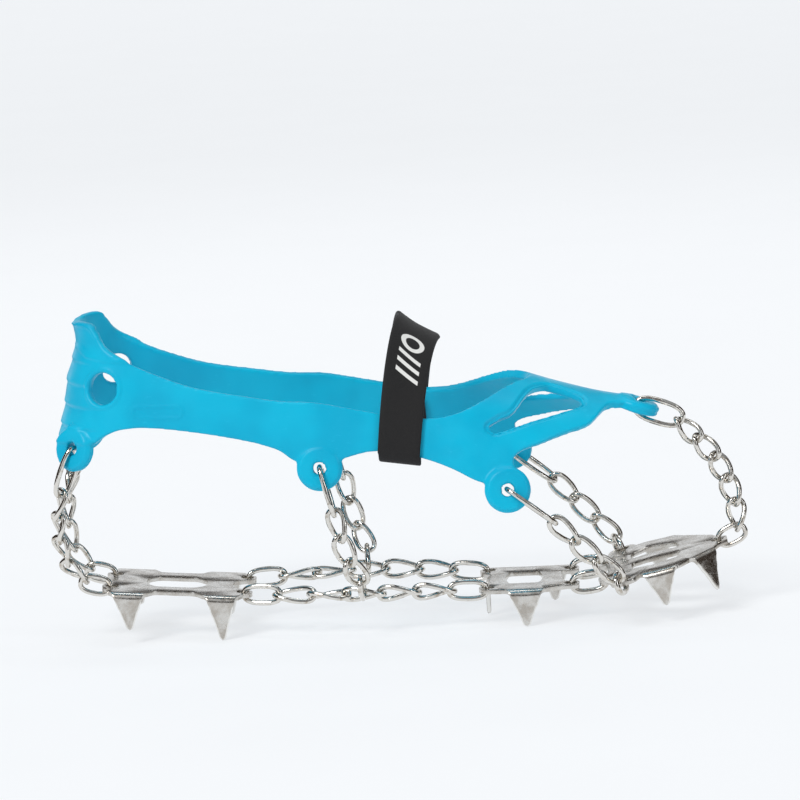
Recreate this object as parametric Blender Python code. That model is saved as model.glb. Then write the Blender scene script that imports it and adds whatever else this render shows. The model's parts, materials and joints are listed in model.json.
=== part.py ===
"""Chain crampon (microspike) for one boot, in the shape it has when worn.

An elastomer harness grips the boot's upper. Seven steel chain strands hang from its eyelets and hold
three spiked plates under the sole. A strap crosses the instep.
+X points to the toe, the wearer's right side is -Y, and +Z is up. Z = 0 is the ground under the spikes.
"""
import math

import bmesh
import bpy
import numpy as np
from mathutils import Matrix, Vector

MM = 0.001                      # lengths below are in millimetres
X_SHIFT = -3.2                  # puts the origin under the middle of the overall length
GAP = 0.3                       # clear gap between pieces that touch

# harness
SHEET = 4.0                     # wall thickness
BOSS_RADIUS = 10.5
BOSS_THICK = 5.4
EYE_RADIUS = 3.2
HEEL_HOLE_RADIUS = 7.3
HEEL_HOLE_DEPTH = 24.0          # length of the cutter that makes it
BOSS_SIDES = 24
EYE_SIDES = 16
HEEL_X = -116.0                 # where the heel's round begins
HEEL_ARC = 55.0                 # girth from there to the middle of the heel
GRID_U = 13.0
GRID_ANGLE = 11.0

# chain
WIRE = 2.4                      # wire diameter
LINK_WIDTH = 10.4               # outer width of a twisted link
LONG_WIDTH = 12.6               # outer width of the link that holds an eyelet
RING_WIRE = 2.8
RING_WIDTH = 11.5
TWIST = 90.0                    # degrees from one end of a twisted link to the other
ROUNDNESS = 2.6                 # exponent of the link's superellipse outline
END_BEND = 0.95                 # radius of a link's end, as a share of half its width
SETTLING_ROUNDS = 30
LINK_STEPS = 14
WIRE_SIDES = 6
CROSSING = WIRE + GAP           # distance between the wire centres of two hooked links
EYE_SEAT = 0.5                  # how far a long link's wire sits from its eyelet's middle, against the pull
RING_INSET = 0.7                # how far a connecting ring's wires sit inside its two lug holes

# plates
PLATE = 2.0                     # steel thickness
HOLE_RADIUS = 3.0
SPIKE_TIP = 1.8                 # width of a spike's worn tip
SPIKE_PROUD = 0.25              # how far a spike's base stands out of the sheet's edge and below its top

# strap
STRAP_WIDTH = 19.0
STRAP_THICK = 1.8

TPE_BLUE = (0.0, 0.45, 0.68, 1.0)
STEEL = (0.62, 0.61, 0.58, 1.0)
STRAP_BLACK = (0.02, 0.02, 0.022, 1.0)

# ---------------------------------------------------------------- the boot form that the harness follows

# stations along X: half width, height of the widest level, rise from there to the crown
FORM = [
    (-160.0, 34.0, 85.0, 90.0),
    (-116.0, 34.0, 85.0, 90.0),
    (-80.0, 37.5, 85.0, 90.0),
    (-40.0, 40.5, 85.0, 88.0),
    (-10.0, 43.0, 80.0, 74.0),
    (15.0, 46.0, 72.0, 61.0),
    (40.0, 49.5, 64.0, 56.5),
    (65.0, 49.0, 58.0, 52.5),
    (80.0, 46.0, 55.0, 50.5),
    (98.0, 38.0, 52.0, 48.5),
    (112.0, 32.0, 50.5, 47.5),
    (128.0, 24.0, 49.0, 47.0),
]
# rear face of the heel: height, X
HEEL_BACK = [
    (86.0, -150.5), (94.0, -149.6), (100.5, -148.1), (110.0, -145.7), (120.0, -144.3), (130.0, -141.2),
    (139.0, -139.2), (149.0, -140.6),
]


def smooth_lookup(table, x, column=1):
    """Value of a table's column at x, on a smooth monotone-safe curve through its rows."""
    xs = [row[0] for row in table]
    ys = [row[column] for row in table]
    if x <= xs[0]:
        return ys[0]
    if x >= xs[-1]:
        return ys[-1]
    i = max(k for k in range(len(xs) - 1) if xs[k] <= x)
    slopes = [(ys[k + 1] - ys[k]) / (xs[k + 1] - xs[k]) for k in range(len(xs) - 1)]

    def tangent(k):
        if k == 0 or k == len(xs) - 1 or slopes[k - 1] * slopes[k] <= 0:
            return 0.0 if 0 < k < len(xs) - 1 else slopes[min(k, len(slopes) - 1)]
        return 2 * slopes[k - 1] * slopes[k] / (slopes[k - 1] + slopes[k])

    h = xs[i + 1] - xs[i]
    t = (x - xs[i]) / h
    a = (2 * t ** 3 - 3 * t ** 2 + 1) * ys[i] + (t ** 3 - 2 * t ** 2 + t) * h * tangent(i)
    b = (-2 * t ** 3 + 3 * t ** 2) * ys[i + 1] + (t ** 3 - t ** 2) * h * tangent(i + 1)
    return a + b


def form(x):
    return [smooth_lookup(FORM, x, column) for column in (1, 2, 3)]


def surface(u, angle):
    """Point of the form on the -Y side; u runs along the sole and round the heel, angle from the crown."""
    half, level, rise = form(max(u, HEEL_X))
    z = level + rise * math.cos(math.radians(angle))
    y = -half * math.sin(math.radians(angle))
    if u >= HEEL_X:
        return Vector((u, y, z))
    around = math.radians(90 * (1 - (HEEL_X - u) / HEEL_ARC))
    back = smooth_lookup(HEEL_BACK, z)
    return Vector((HEEL_X - (HEEL_X - back) * math.cos(around), y * math.sin(around), z))


def surface_normal(u, angle):
    """Outward normal of the form."""
    du = surface(u + 0.5, angle) - surface(u - 0.5, angle)
    da = surface(u, angle + 0.5) - surface(u, angle - 0.5)
    normal = du.cross(da).normalized()
    core = Vector((max(u, HEEL_X), 0.0, form(max(u, HEEL_X))[1] - 20.0))
    return normal if normal.dot(surface(u, angle) - core) > 0 else -normal


def crown_angle(x, z):
    _, level, rise = form(max(x, HEEL_X))
    return math.degrees(math.acos(max(-1.0, min(1.0, (z - level) / rise))))


def side(x, z):
    """Pattern point seen from the side at x, z."""
    if x >= HEEL_X:
        return (x, crown_angle(x, z))
    back = smooth_lookup(HEEL_BACK, z)
    around = math.acos(min(1.0, (HEEL_X - x) / (HEEL_X - back)))
    return (HEEL_X - HEEL_ARC * (1 - math.degrees(around) / 90), crown_angle(HEEL_X, z))


def top(x, y):
    """Pattern point seen from above at x, distance y from the middle."""
    return (x, math.degrees(math.asin(y / form(x)[0])))


def heel(z):
    """Pattern point on the middle line of the heel at height z."""
    return (HEEL_X - HEEL_ARC, crown_angle(HEEL_X, z))


OUTLINE = [
    heel(146.6), side(-137.0, 147.6), side(-132.0, 147.3), side(-129.0, 143.5), side(-124.8, 137.2),
    side(-115.0, 131.0), side(-103.6, 125.8), side(-85.5, 119.2), side(-62.7, 114.6), side(-39.9, 111.3),
    side(-17.1, 107.7), side(0.0, 103.6), side(10.0, 101.6), side(19.4, 100.8), side(28.0, 101.0),
    side(36.0, 102.8), side(44.0, 105.6), side(52.3, 108.6), top(59.0, 15.0), top(63.5, 8.0), top(65.4, 0.0),
    top(113.0, 0.0), top(113.0, 7.0), top(107.0, 8.5), top(101.0, 12.0), side(93.0, 92.0), side(82.8, 90.0),
    side(70.4, 87.0), side(62.5, 85.0), side(58.2, 82.5), side(57.6, 79.5), side(59.0, 73.5),
    side(54.4, 71.0), side(48.0, 71.0), side(40.8, 73.0), side(31.9, 77.9), side(24.0, 81.4),
    side(15.7, 84.2), side(6.0, 87.0),
    side(-2.0, 87.8), side(-10.0, 87.2), side(-18.0, 85.2), side(-24.0, 83.0), side(-30.0, 82.0),
    side(-36.0, 83.0), side(-42.0, 85.2), side(-48.0, 89.6), side(-59.3, 93.6), side(-77.5, 97.6),
    side(-95.0, 100.4), side(-109.5, 101.8), side(-120.0, 101.2), side(-127.0, 98.6), side(-132.0, 95.0),
    side(-137.0, 92.6), side(-143.0, 92.2), heel(93.5),
]
WINDOW = [
    side(47.0, 95.3), side(48.2, 93.4), side(50.5, 92.6), side(58.0, 94.0), side(66.6, 95.8),
    side(76.0, 97.0), top(87.0, 19.0), top(89.5, 14.0), top(87.0, 10.0), top(78.0, 8.0),
    top(72.5, 9.5), top(66.0, 18.0),
    side(58.7, 100.3), side(52.0, 97.8),
]
HEEL_HOLE = side(-127.0, 119.8)


# ---------------------------------------------------------------- helpers

def world(p):
    return Vector((p[0] + X_SHIFT, p[1], p[2])) * MM


def material(name, colour, roughness, metallic):
    made = bpy.data.materials.new(name)
    made.use_nodes = True
    shader = made.node_tree.nodes["Principled BSDF"]
    shader.inputs["Base Color"].default_value = colour
    shader.inputs["Roughness"].default_value = roughness
    shader.inputs["Metallic"].default_value = metallic
    made.diffuse_color = colour
    return made


def add_object(name, bm, look, smooth=False):
    """New object from a bmesh in metres."""
    mesh = bpy.data.meshes.new(name)
    bm.to_mesh(mesh)
    bm.free()
    if smooth:
        mesh.shade_smooth()
        mesh.set_sharp_from_angle(angle=math.radians(40))
    made = bpy.data.objects.new(name, mesh)
    bpy.context.scene.collection.objects.link(made)
    if look:
        mesh.materials.append(look)
    return made


def place(obj, origin, x_axis, z_axis):
    """Put a piece's own origin at a point, with its X axis and roughly its Z axis along two directions."""
    x_axis = Vector(x_axis).normalized()
    y_axis = Vector(z_axis).cross(x_axis).normalized()
    z_axis = x_axis.cross(y_axis)
    rotation = Matrix((x_axis, y_axis, z_axis)).transposed()
    obj.rotation_mode = "QUATERNION"
    obj.location = world(origin)
    obj.rotation_quaternion = rotation.to_quaternion()


def cutter(name, bm):
    made = add_object(name, bm, None)
    made.hide_render = True
    made.display_type = "WIRE"
    return made


def boolean(obj, other, operation):
    modifier = obj.modifiers.new(operation.title(), "BOOLEAN")
    modifier.operation = operation
    modifier.object = other
    modifier.solver = "EXACT"


def add_cylinder(bm, centre, axis, radius, length, sides=BOSS_SIDES):
    """Closed cylinder about an axis through centre."""
    z_axis = Vector(axis).normalized()
    guess = Vector((0.0, 0.0, 1.0)) if abs(z_axis.z) < 0.8 else Vector((1.0, 0.0, 0.0))
    x_axis = flat_to(guess, z_axis)
    y_axis = z_axis.cross(x_axis)
    rings = []
    for end in (-0.5, 0.5):
        ring = []
        for k in range(sides):
            turn = 2 * math.pi * (k + 0.5) / sides
            outward = x_axis * math.cos(turn) + y_axis * math.sin(turn)
            ring.append(bm.verts.new(world(Vector(centre) + outward * radius + z_axis * length * end)))
        rings.append(ring)
    bm.faces.new(list(reversed(rings[0])))
    bm.faces.new(rings[1])
    for k in range(sides):
        n = (k + 1) % sides
        bm.faces.new((rings[0][k], rings[0][n], rings[1][n], rings[1][k]))


def fill_outline(bm, outline, holes):
    """Flat triangulated sheet in the XY plane from an outline and holes, facing +Z."""
    edges = []
    for loop in [outline] + holes:
        verts = [bm.verts.new((x, y, 0.0)) for x, y in loop]
        edges += [bm.edges.new((verts[k], verts[(k + 1) % len(verts)])) for k in range(len(verts))]
    bmesh.ops.triangle_fill(bm, use_beauty=True, use_dissolve=False, edges=edges, normal=(0, 0, 1))
    for face in bm.faces:
        face.normal_update()
        if face.normal.z < 0:
            face.normal_flip()


def slice_sheet(bm, axis, values):
    for value in values:
        point = (value, 0, 0) if axis == 0 else (0, value, 0)
        normal = (1, 0, 0) if axis == 0 else (0, 1, 0)
        geometry = bm.verts[:] + bm.edges[:] + bm.faces[:]
        bmesh.ops.bisect_plane(bm, geom=geometry, plane_co=point, plane_no=normal, dist=1e-4)


# ---------------------------------------------------------------- harness

def rounded(points, radius=2.0):
    """Corner-cut copy of a closed outline: each corner becomes two points, a quarter of the way along."""
    result = []
    for k, p in enumerate(points):
        for other in (points[k - 1], points[(k + 1) % len(points)]):
            span = math.dist(p, other)
            part = min(0.25, radius / max(span, 1e-6))
            result.append((p[0] + (other[0] - p[0]) * part, p[1] + (other[1] - p[1]) * part))
    return result


def eyelets():
    """Name, centre, disc normal and pull direction of each eyelet on the -Y side and on the toe."""
    found = []
    for name, strand in STRANDS.items():
        centre = Vector(strand["eye"])
        pull = (Vector(strand["path"][0]) - centre).normalized()
        normal = Vector(strand["normal"])
        normal = (normal - pull * normal.dot(pull)).normalized()
        found.append((name, centre, normal, pull))
    return found


def mirrored(p):
    return Vector((p[0], -p[1], p[2]))


def on_middle_line(pattern_point):
    u, angle = pattern_point[:2]
    return abs(u - (HEEL_X - HEEL_ARC)) < 1e-3 or abs(angle) < 1e-3


def build_harness():
    bm = bmesh.new()
    fill_outline(bm, OUTLINE, [rounded(WINDOW)])
    slice_sheet(bm, 0, np.arange(HEEL_X - HEEL_ARC + GRID_U, 120.0, GRID_U))
    slice_sheet(bm, 1, np.arange(GRID_ANGLE, 100.0, GRID_ANGLE))
    bmesh.ops.remove_doubles(bm, verts=bm.verts[:], dist=0.25)
    outer = bmesh.ops.extrude_face_region(bm, geom=bm.faces[:])
    for item in outer["geom"]:
        if isinstance(item, bmesh.types.BMVert):
            item.co.z = 1.0
    middle = [face for face in bm.faces if all(on_middle_line(v.co) for v in face.verts)]
    bmesh.ops.delete(bm, geom=middle, context="FACES_ONLY")
    for vert in bm.verts:
        u, angle, skin = vert.co
        centred = on_middle_line(vert.co)
        vert.co = world(surface(u, angle) + surface_normal(u, angle) * SHEET * (skin - 0.5))
        if centred:
            vert.co.y = 0.0
    bmesh.ops.recalc_face_normals(bm, faces=bm.faces[:])
    harness = add_object("harness", bm, LOOK_TPE)
    mirror = harness.modifiers.new("Mirror", "MIRROR")
    mirror.use_axis = (False, True, False)
    mirror.merge_threshold = 0.00005
    mirror.use_clip = True

    bosses = bmesh.new()
    holes = bmesh.new()
    for _, centre, normal, _ in eyelets():
        sides = [(centre, normal)]
        if abs(centre.y) > 1:
            sides.append((mirrored(centre), mirrored(normal)))
        for c, n in sides:
            add_cylinder(bosses, c, n, BOSS_RADIUS, BOSS_THICK)
            add_cylinder(holes, c, n, EYE_RADIUS, BOSS_THICK * 3, sides=EYE_SIDES)
    hole_centre = surface(*HEEL_HOLE)
    hole_axis = surface_normal(*HEEL_HOLE)
    add_cylinder(holes, hole_centre, hole_axis, HEEL_HOLE_RADIUS, HEEL_HOLE_DEPTH)
    add_cylinder(holes, mirrored(hole_centre), mirrored(hole_axis), HEEL_HOLE_RADIUS, HEEL_HOLE_DEPTH)
    boolean(harness, cutter("cut_bosses", bosses), "UNION")
    boolean(harness, cutter("cut_holes", holes), "DIFFERENCE")


# ---------------------------------------------------------------- chain

def curve_through(points, steps=40):
    """Dense smooth curve through points."""
    pts = [Vector(p) for p in points]
    pts = [pts[0] * 2 - pts[1]] + pts + [pts[-1] * 2 - pts[-2]]
    dense = []
    for k in range(1, len(pts) - 2):
        a, b, c, d = pts[k - 1:k + 3]
        for s in range(steps):
            t = s / steps
            dense.append(0.5 * (2 * b + (c - a) * t + (2 * a - 5 * b + 4 * c - d) * t ** 2
                                + (3 * b - a - 3 * c + d) * t ** 3))
    dense.append(pts[-2])
    return dense


def even_nodes(points, count):
    """count + 1 points evenly spaced along the smooth curve through points."""
    dense = curve_through(points)
    lengths = [0.0]
    for a, b in zip(dense, dense[1:]):
        lengths.append(lengths[-1] + (b - a).length)
    nodes = []
    for k in range(count + 1):
        wanted = lengths[-1] * k / count
        i = min(max(j for j in range(len(lengths)) if lengths[j] <= wanted + 1e-9), len(dense) - 2)
        t = (wanted - lengths[i]) / (lengths[i + 1] - lengths[i])
        nodes.append(dense[i].lerp(dense[i + 1], min(1.0, t)))
    return nodes


def link_mesh(name, span, width, wire, twist, look):
    """Closed wire loop along its own X axis; span is the distance between its two ends' wire centres."""
    half = span / 2
    reach = (width - wire) / 2
    bm = bmesh.new()
    centres = []
    for k in range(LINK_STEPS):
        t = 2 * math.pi * (k + 0.5) / LINK_STEPS
        x = half * math.copysign(abs(math.cos(t)) ** (2 / ROUNDNESS), math.cos(t))
        r = reach * math.copysign(abs(math.sin(t)) ** (2 / ROUNDNESS), math.sin(t))
        angle = math.radians(twist) / 2 * x / half
        centres.append(Vector((x, r * math.cos(angle), r * math.sin(angle))))
    scale = half / max(c.x for c in centres)
    centres = [Vector((c.x * scale, c.y, c.z)) for c in centres]
    rings = []
    for k, centre in enumerate(centres):
        along = (centres[(k + 1) % LINK_STEPS] - centres[k - 1]).normalized()
        outward = centre - along * centre.dot(along)
        outward.normalize()
        third = along.cross(outward)
        ring = []
        for s in range(WIRE_SIDES):
            turn = 2 * math.pi * s / WIRE_SIDES
            p = centre + (outward * math.cos(turn) + third * math.sin(turn)) * wire / 2
            ring.append(bm.verts.new(p * MM))
        rings.append(ring)
    for k in range(LINK_STEPS):
        here = rings[k]
        there = rings[(k + 1) % LINK_STEPS]
        for s in range(WIRE_SIDES):
            n = (s + 1) % WIRE_SIDES
            bm.faces.new((here[s], here[n], there[n], there[s]))
    bmesh.ops.recalc_face_normals(bm, faces=bm.faces[:])
    return add_object(name, bm, look, smooth=True)


def link_between(name, start, end, plane, twist, width, wire=WIRE, origin_at_start=False):
    """Link whose end wires pass through start and end. plane is a direction in the link's middle plane."""
    start = Vector(start)
    end = Vector(end)
    along = end - start
    obj = link_mesh(name, along.length, width, wire, twist, LOOK_STEEL)
    shift = along.length / 2 if origin_at_start else 0.0
    obj.data.transform(Matrix.Translation((shift * MM, 0, 0)))
    normal = along.normalized().cross(Vector(plane)).normalized()
    place(obj, start if origin_at_start else (start + end) / 2, along, normal)
    return obj


def turned(vector, axis, degrees):
    return Matrix.Rotation(math.radians(degrees), 3, Vector(axis).normalized()) @ Vector(vector)


def flat_to(vector, axis):
    axis = Vector(axis).normalized()
    return (Vector(vector) - axis * Vector(vector).dot(axis)).normalized()


def signed_angle(a, b, axis):
    return math.degrees(math.atan2(Vector(axis).normalized().dot(a.cross(b)), a.dot(b)))


def chain_planes(axes, start_plane, end_plane, middle=None):
    """Middle-plane direction and twist of each link of a chain, so that hooked links cross squarely.

    start_plane and end_plane are directions in the first link's first end and the last link's far end.
    middle is (index, direction) of a link whose middle plane is given too. Directions are carried along
    the chain without turning, and the leftover turn is shared out as a little more or less twist per link.
    """
    carried = [flat_to(start_plane, axes[0])]
    for axis in axes[1:]:
        carried.append(flat_to(carried[-1], axis))
    last = len(axes) - 1
    stops = [(last, 1.0, end_plane)]
    if middle:
        stops.insert(0, (middle[0], 0.5, middle[1]))
    places = [0.0]
    extras = [0.0]
    for k, part, direction in stops:
        wanted = signed_angle(carried[k], flat_to(direction, axes[k]), axes[k])
        plain = k * (TWIST + 90) + part * TWIST
        extras.append(extras[-1] + (wanted - plain - extras[-1] + 90) % 180 - 90)
        places.append(k + part)

    def extra(place_on_chain):
        return float(np.interp(place_on_chain, places, extras))

    planes = []
    for k, axis in enumerate(axes):
        turn = k * (TWIST + 90) + TWIST / 2 + extra(k + 0.5)
        planes.append((turned(carried[k], axis, turn), TWIST + extra(k + 1) - extra(k)))
    return planes


def hooked_start(tip, axis, plane, bend, next_axis, next_plane, next_bend, crossing):
    """Where the next link's end wire crosses its own axis, once it bears on the inside of this link's end.

    tip is this link's end wire on its axis. plane and next_plane are directions in the two end planes, bend
    and next_bend the radii of the two ends, and crossing the distance between the two wires' centres.
    """
    flat = axis.cross(plane).normalized()
    toward = (next_axis - flat * next_axis.dot(flat)).normalized()
    bearing = tip - axis * bend + toward * (bend - crossing)
    next_flat = next_axis.cross(next_plane).normalized()
    away = (toward - next_flat * toward.dot(next_flat)).normalized()
    return bearing + (away - next_axis) * next_bend


def hang_chain(nodes, goal, start_plane, end_plane, first_tip=None, holder=None, middle=None,
               last_size=(LINK_WIDTH, WIRE)):
    """Start, end, middle plane and twist of each link along nodes, each hooked on the one before it.

    The first link hooks on holder, the (tip, axis, plane, bend) of a link before it, or is a flat link
    from first_tip. The last link is flat in end_plane. The nodes are shifted a little at a time until its
    far end is at goal.
    """
    nodes = [Vector(p) for p in nodes]
    count = len(nodes) - 1
    flat_start = 0 if holder else 1
    bends = [(LINK_WIDTH - WIRE) / 2 * END_BEND] * (count - 1)
    bends.append((last_size[0] - last_size[1]) / 2 * END_BEND)
    crossings = [CROSSING] * (count - 1) + [(WIRE + last_size[1]) / 2 + GAP]
    for _ in range(SETTLING_ROUNDS):
        axes = [(b - a).normalized() for a, b in zip(nodes, nodes[1:])]
        last_plane = flat_to(end_plane, axes[-1])
        planes = []
        chain_start = start_plane
        if flat_start:
            planes.append((flat_to(start_plane, axes[0]), 0.0))
            chain_start = turned(planes[0][0], axes[0], 90)
        chain_middle = (middle[0] - flat_start, middle[1]) if middle else None
        chain_end = turned(last_plane, axes[-1], 90)
        planes += chain_planes(axes[flat_start:-1], chain_start, chain_end, chain_middle)
        planes.append((last_plane, 0.0))
        links = []
        before = holder
        for k, (axis, (plane, twist)) in enumerate(zip(axes, planes)):
            start_dir = turned(plane, axis, -twist / 2)
            if before:
                start = hooked_start(*before, axis, start_dir, bends[k], crossings[k])
            else:
                start = Vector(first_tip)
            hooks = 2 - (k == 0 and flat_start) - (k == count - 1)
            end = start + axis * ((nodes[k + 1] - nodes[k]).length + hooks * CROSSING / 2)
            links.append((start, end, plane, twist))
            before = (end, axis, turned(plane, axis, twist / 2), bends[k])
        miss = Vector(goal) - links[-1][1]
        nodes = [node + miss * k / count for k, node in enumerate(nodes)]
    return links


def strand_links(name, strand):
    """Name, start, end, middle plane, twist, width and wire of each piece of a strand on the -Y side."""
    _, eye, normal, pull = next(item for item in eyelets() if item[0] == name)
    path = [Vector(p) for p in strand["path"]]
    hole = Vector(strand["hole"])
    ring = strand.get("ring")
    approach = (hole - Vector(ring or path[-1])).normalized()
    goal = hole - approach * strand["hole_inset"]
    nodes = even_nodes(path + [ring or goal], strand["links"]) + ([goal] if ring else [])
    first_axis = (nodes[1] - nodes[0]).normalized()
    tip = eye - pull * EYE_SEAT
    long_axis = (nodes[0] - tip).normalized()
    long_end = nodes[0] + long_axis * CROSSING / 2
    pieces = [("long_link", tip, long_end, normal, 0.0, LONG_WIDTH, WIRE)]
    holder = (long_end, long_axis, flat_to(normal, long_axis), (LONG_WIDTH - WIRE) / 2 * END_BEND)
    last_size = (RING_WIDTH, RING_WIRE) if ring else (LINK_WIDTH, WIRE)
    links = hang_chain(nodes, goal, turned(flat_to(normal, first_axis), first_axis, 90),
                       strand["hole_normal"], holder=holder, last_size=last_size)
    for k, link in enumerate(links):
        is_ring = ring and k == len(links) - 1
        size = last_size if is_ring else (LINK_WIDTH, WIRE)
        pieces.append(("ring" if is_ring else f"link_{k + 1}", *link, *size))
    return pieces


def build_pieces(label, pieces, flip):
    """Make the pieces of a chain; the left side is the right side's mirror image, twist included."""
    for name, start, end, plane, twist, width, wire in pieces:
        if flip:
            start, end, plane, twist = mirrored(start), mirrored(end), mirrored(plane), -twist
        at_start = name == "long_link"
        link_between(f"{label}_{name}", start, end, plane, twist, width, wire, origin_at_start=at_start)


def underfoot_links():
    """Chain under the arch from the heel plate to the middle plate; the mid strand hooks into one link."""
    path = [Vector(p) for p in UNDERFOOT["path"]]
    up = Vector((0, 0, 1))
    middle = (UNDERFOOT["tee_link"], Vector(UNDERFOOT["tee_pull"]))
    nodes = even_nodes(path, UNDERFOOT["links"])
    links = hang_chain(nodes, path[-1], up, up, first_tip=path[0], middle=middle)
    return [(f"link_{k + 1}", *link, LINK_WIDTH, WIRE) for k, link in enumerate(links)]


def build_connecting_ring(flip):
    rear, front = (Vector(p) for p in CONNECTING_HOLES)
    if flip:
        rear, front = mirrored(rear), mirrored(front)
    along = (front - rear).normalized()
    label = "connecting_ring_left" if flip else "connecting_ring_right"
    inset = along * RING_INSET
    link_between(label, rear + inset, front - inset, (0, 0, 1), 0.0, RING_WIDTH, wire=RING_WIRE)


# ---------------------------------------------------------------- plates

def circle(x, y, radius, sides=12):
    turns = [2 * math.pi * (k + 0.5) / sides for k in range(sides)]
    return [(x + radius * math.cos(t), y + radius * math.sin(t)) for t in turns]


def height_at(profile, x):
    return float(np.interp(x, [p[0] for p in profile], [p[1] for p in profile]))


def build_plate(name, plate):
    """Pressed steel sheet with lug holes, and spikes bent down from its edges."""
    bm = bmesh.new()
    lug_holes = [circle(x, y, HOLE_RADIUS) for x, y in plate["holes"]]
    fill_outline(bm, plate["outline"], plate["cutouts"] + lug_holes)
    slice_sheet(bm, 0, [x for x, _ in plate["profile"][1:-1]])
    for vert in bm.verts:
        vert.co.z = height_at(plate["profile"], vert.co.x)
        vert.co = world(vert.co)
    base = bmesh.ops.extrude_face_region(bm, geom=bm.faces[:])
    moved = [item for item in base["geom"] if isinstance(item, bmesh.types.BMVert)]
    bmesh.ops.translate(bm, vec=(0, 0, -PLATE * MM), verts=moved)
    bmesh.ops.recalc_face_normals(bm, faces=bm.faces[:])
    obj = add_object(name, bm, LOOK_STEEL)
    spikes = bmesh.new()
    for start, end, tip in plate["spikes"]:
        add_spike(spikes, plate["profile"], start, end, tip)
    boolean(obj, cutter("cut_" + name, spikes), "UNION")


def add_spike(bm, profile, start, end, tip):
    """Triangular tooth standing on a plate's edge between two plan points, on the outside of the sheet."""
    a = Vector((start[0], start[1], height_at(profile, start[0]) - SPIKE_PROUD))
    b = Vector((end[0], end[1], height_at(profile, end[0]) - SPIKE_PROUD))
    tip = Vector(tip)
    along = (b - a).normalized()
    normal = along.cross(tip - a).normalized()
    level = Vector((along.x, along.y, 0.0)).normalized() * SPIKE_TIP / 2
    corners = [a, b, tip + level, tip - level]
    inside = -normal if normal.dot(Vector((a.x - plate_middle(profile), a.y, 0))) > 0 else normal
    depths = (-SPIKE_PROUD, PLATE - SPIKE_PROUD)
    rings = [[bm.verts.new(world(p + inside * depth)) for p in corners] for depth in depths]
    bm.faces.new(rings[0])
    bm.faces.new(list(reversed(rings[1])))
    for k in range(4):
        n = (k + 1) % 4
        bm.faces.new((rings[0][n], rings[0][k], rings[1][k], rings[1][n]))
    bmesh.ops.recalc_face_normals(bm, faces=bm.faces[:])


def plate_middle(profile):
    return (profile[0][0] + profile[-1][0]) / 2


def both_sides(half):
    """Closed outline from points with y > 0, ordered from rear to front."""
    return half + [(x, -y) for x, y in reversed(half)]


HEEL_PROFILE = [(-136.0, 25.2), (-66.0, 19.3)]
MIDDLE_PROFILE = [(36.0, 17.0), (86.0, 17.0)]
FRONT_PROFILE = [(92.0, 17.4), (116.0, 24.2), (153.5, 31.4)]

PLATES = {
    "heel_plate": {
        "profile": HEEL_PROFILE,
        "outline": both_sides([(-134.5, 8.5), (-135.5, 11.0), (-135.5, 15.5), (-132.5, 18.0), (-131.5, 27.0),
                               (-114.0, 27.0), (-111.0, 20.0), (-92.0, 20.0), (-88.5, 27.0), (-72.0, 27.0),
                               (-70.5, 20.5), (-66.5, 18.5), (-66.0, 13.5), (-69.0, 10.5), (-76.0, 7.0)]),
        "cutouts": [both_sides([(-116.0, 5.0), (-111.0, 10.5), (-93.0, 10.5), (-88.0, 5.0)])],
        "holes": [(-131.0, 13.0), (-131.0, -13.0), (-70.5, 15.5), (-70.5, -15.5)],
        "spikes": [((-131.0, s * 27), (-114.5, s * 27), (-122.5, s * 27, 6.7)) for s in (-1, 1)]
                  + [((-88.0, s * 27), (-72.5, s * 27), (-80.0, s * 27, 0.0)) for s in (-1, 1)],
    },
    "middle_plate": {
        "profile": MIDDLE_PROFILE,
        "outline": [(42.0, -8.0), (39.0, -13.0), (38.0, -20.0), (41.5, -24.0), (50.0, -27.0), (69.0, -27.0),
                    (77.0, -21.0), (84.5, -20.0), (84.5, -12.0), (77.0, -11.0), (76.0, 11.0), (84.5, 12.0),
                    (84.5, 20.0), (81.5, 25.0), (63.5, 25.0), (50.0, 24.0), (41.5, 24.0), (38.0, 20.0),
                    (39.0, 13.0), (42.0, 8.0)],
        "cutouts": [[(52.0, -12.0), (66.0, -12.0), (68.0, 0.0), (66.0, 12.0), (52.0, 12.0), (50.0, 0.0)]],
        "holes": [(42.5, 18.5), (42.5, -18.5), (80.5, 16.0), (80.5, -16.0)],
        "spikes": [((50.5, -27.0), (68.5, -27.0), (59.7, -27.0, 0.0)),
                   ((64.0, 25.0), (81.0, 25.0), (72.6, 25.0, 0.0)),
                   ((42.0, 7.5), (42.0, -7.5), (42.0, 0.0, 0.8))],
    },
    "front_plate": {
        "profile": FRONT_PROFILE,
        "outline": both_sides([(98.0, 8.0), (93.5, 11.5), (93.5, 20.5), (98.0, 24.0), (99.0, 34.0),
                               (102.5, 37.6), (109.5, 37.6), (112.0, 34.0), (130.0, 34.0), (136.0, 27.5),
                               (148.5, 14.0), (149.5, 7.0), (153.5, 4.5), (153.5, 1.0)]),
        "cutouts": [[(109.0, s * 5), (109.0, s * 16), (118.0, s * 21), (130.0, s * 16), (132.0, s * 5)]
                    for s in (-1, 1)],
        "holes": [(97.5, 16.0), (97.5, -16.0), (105.5, 33.0), (105.5, -33.0), (149.0, 0.0)],
        "spikes": [((112.5, s * 34), (129.5, s * 34), (123.8, s * 34, 8.5)) for s in (-1, 1)]
                  + [((136.5, s * 27.0), (148.2, s * 14.4), (147.6, s * 22.4, 12.1)) for s in (-1, 1)],
    },
}

# ---------------------------------------------------------------- chain routes, on the -Y side

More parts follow.
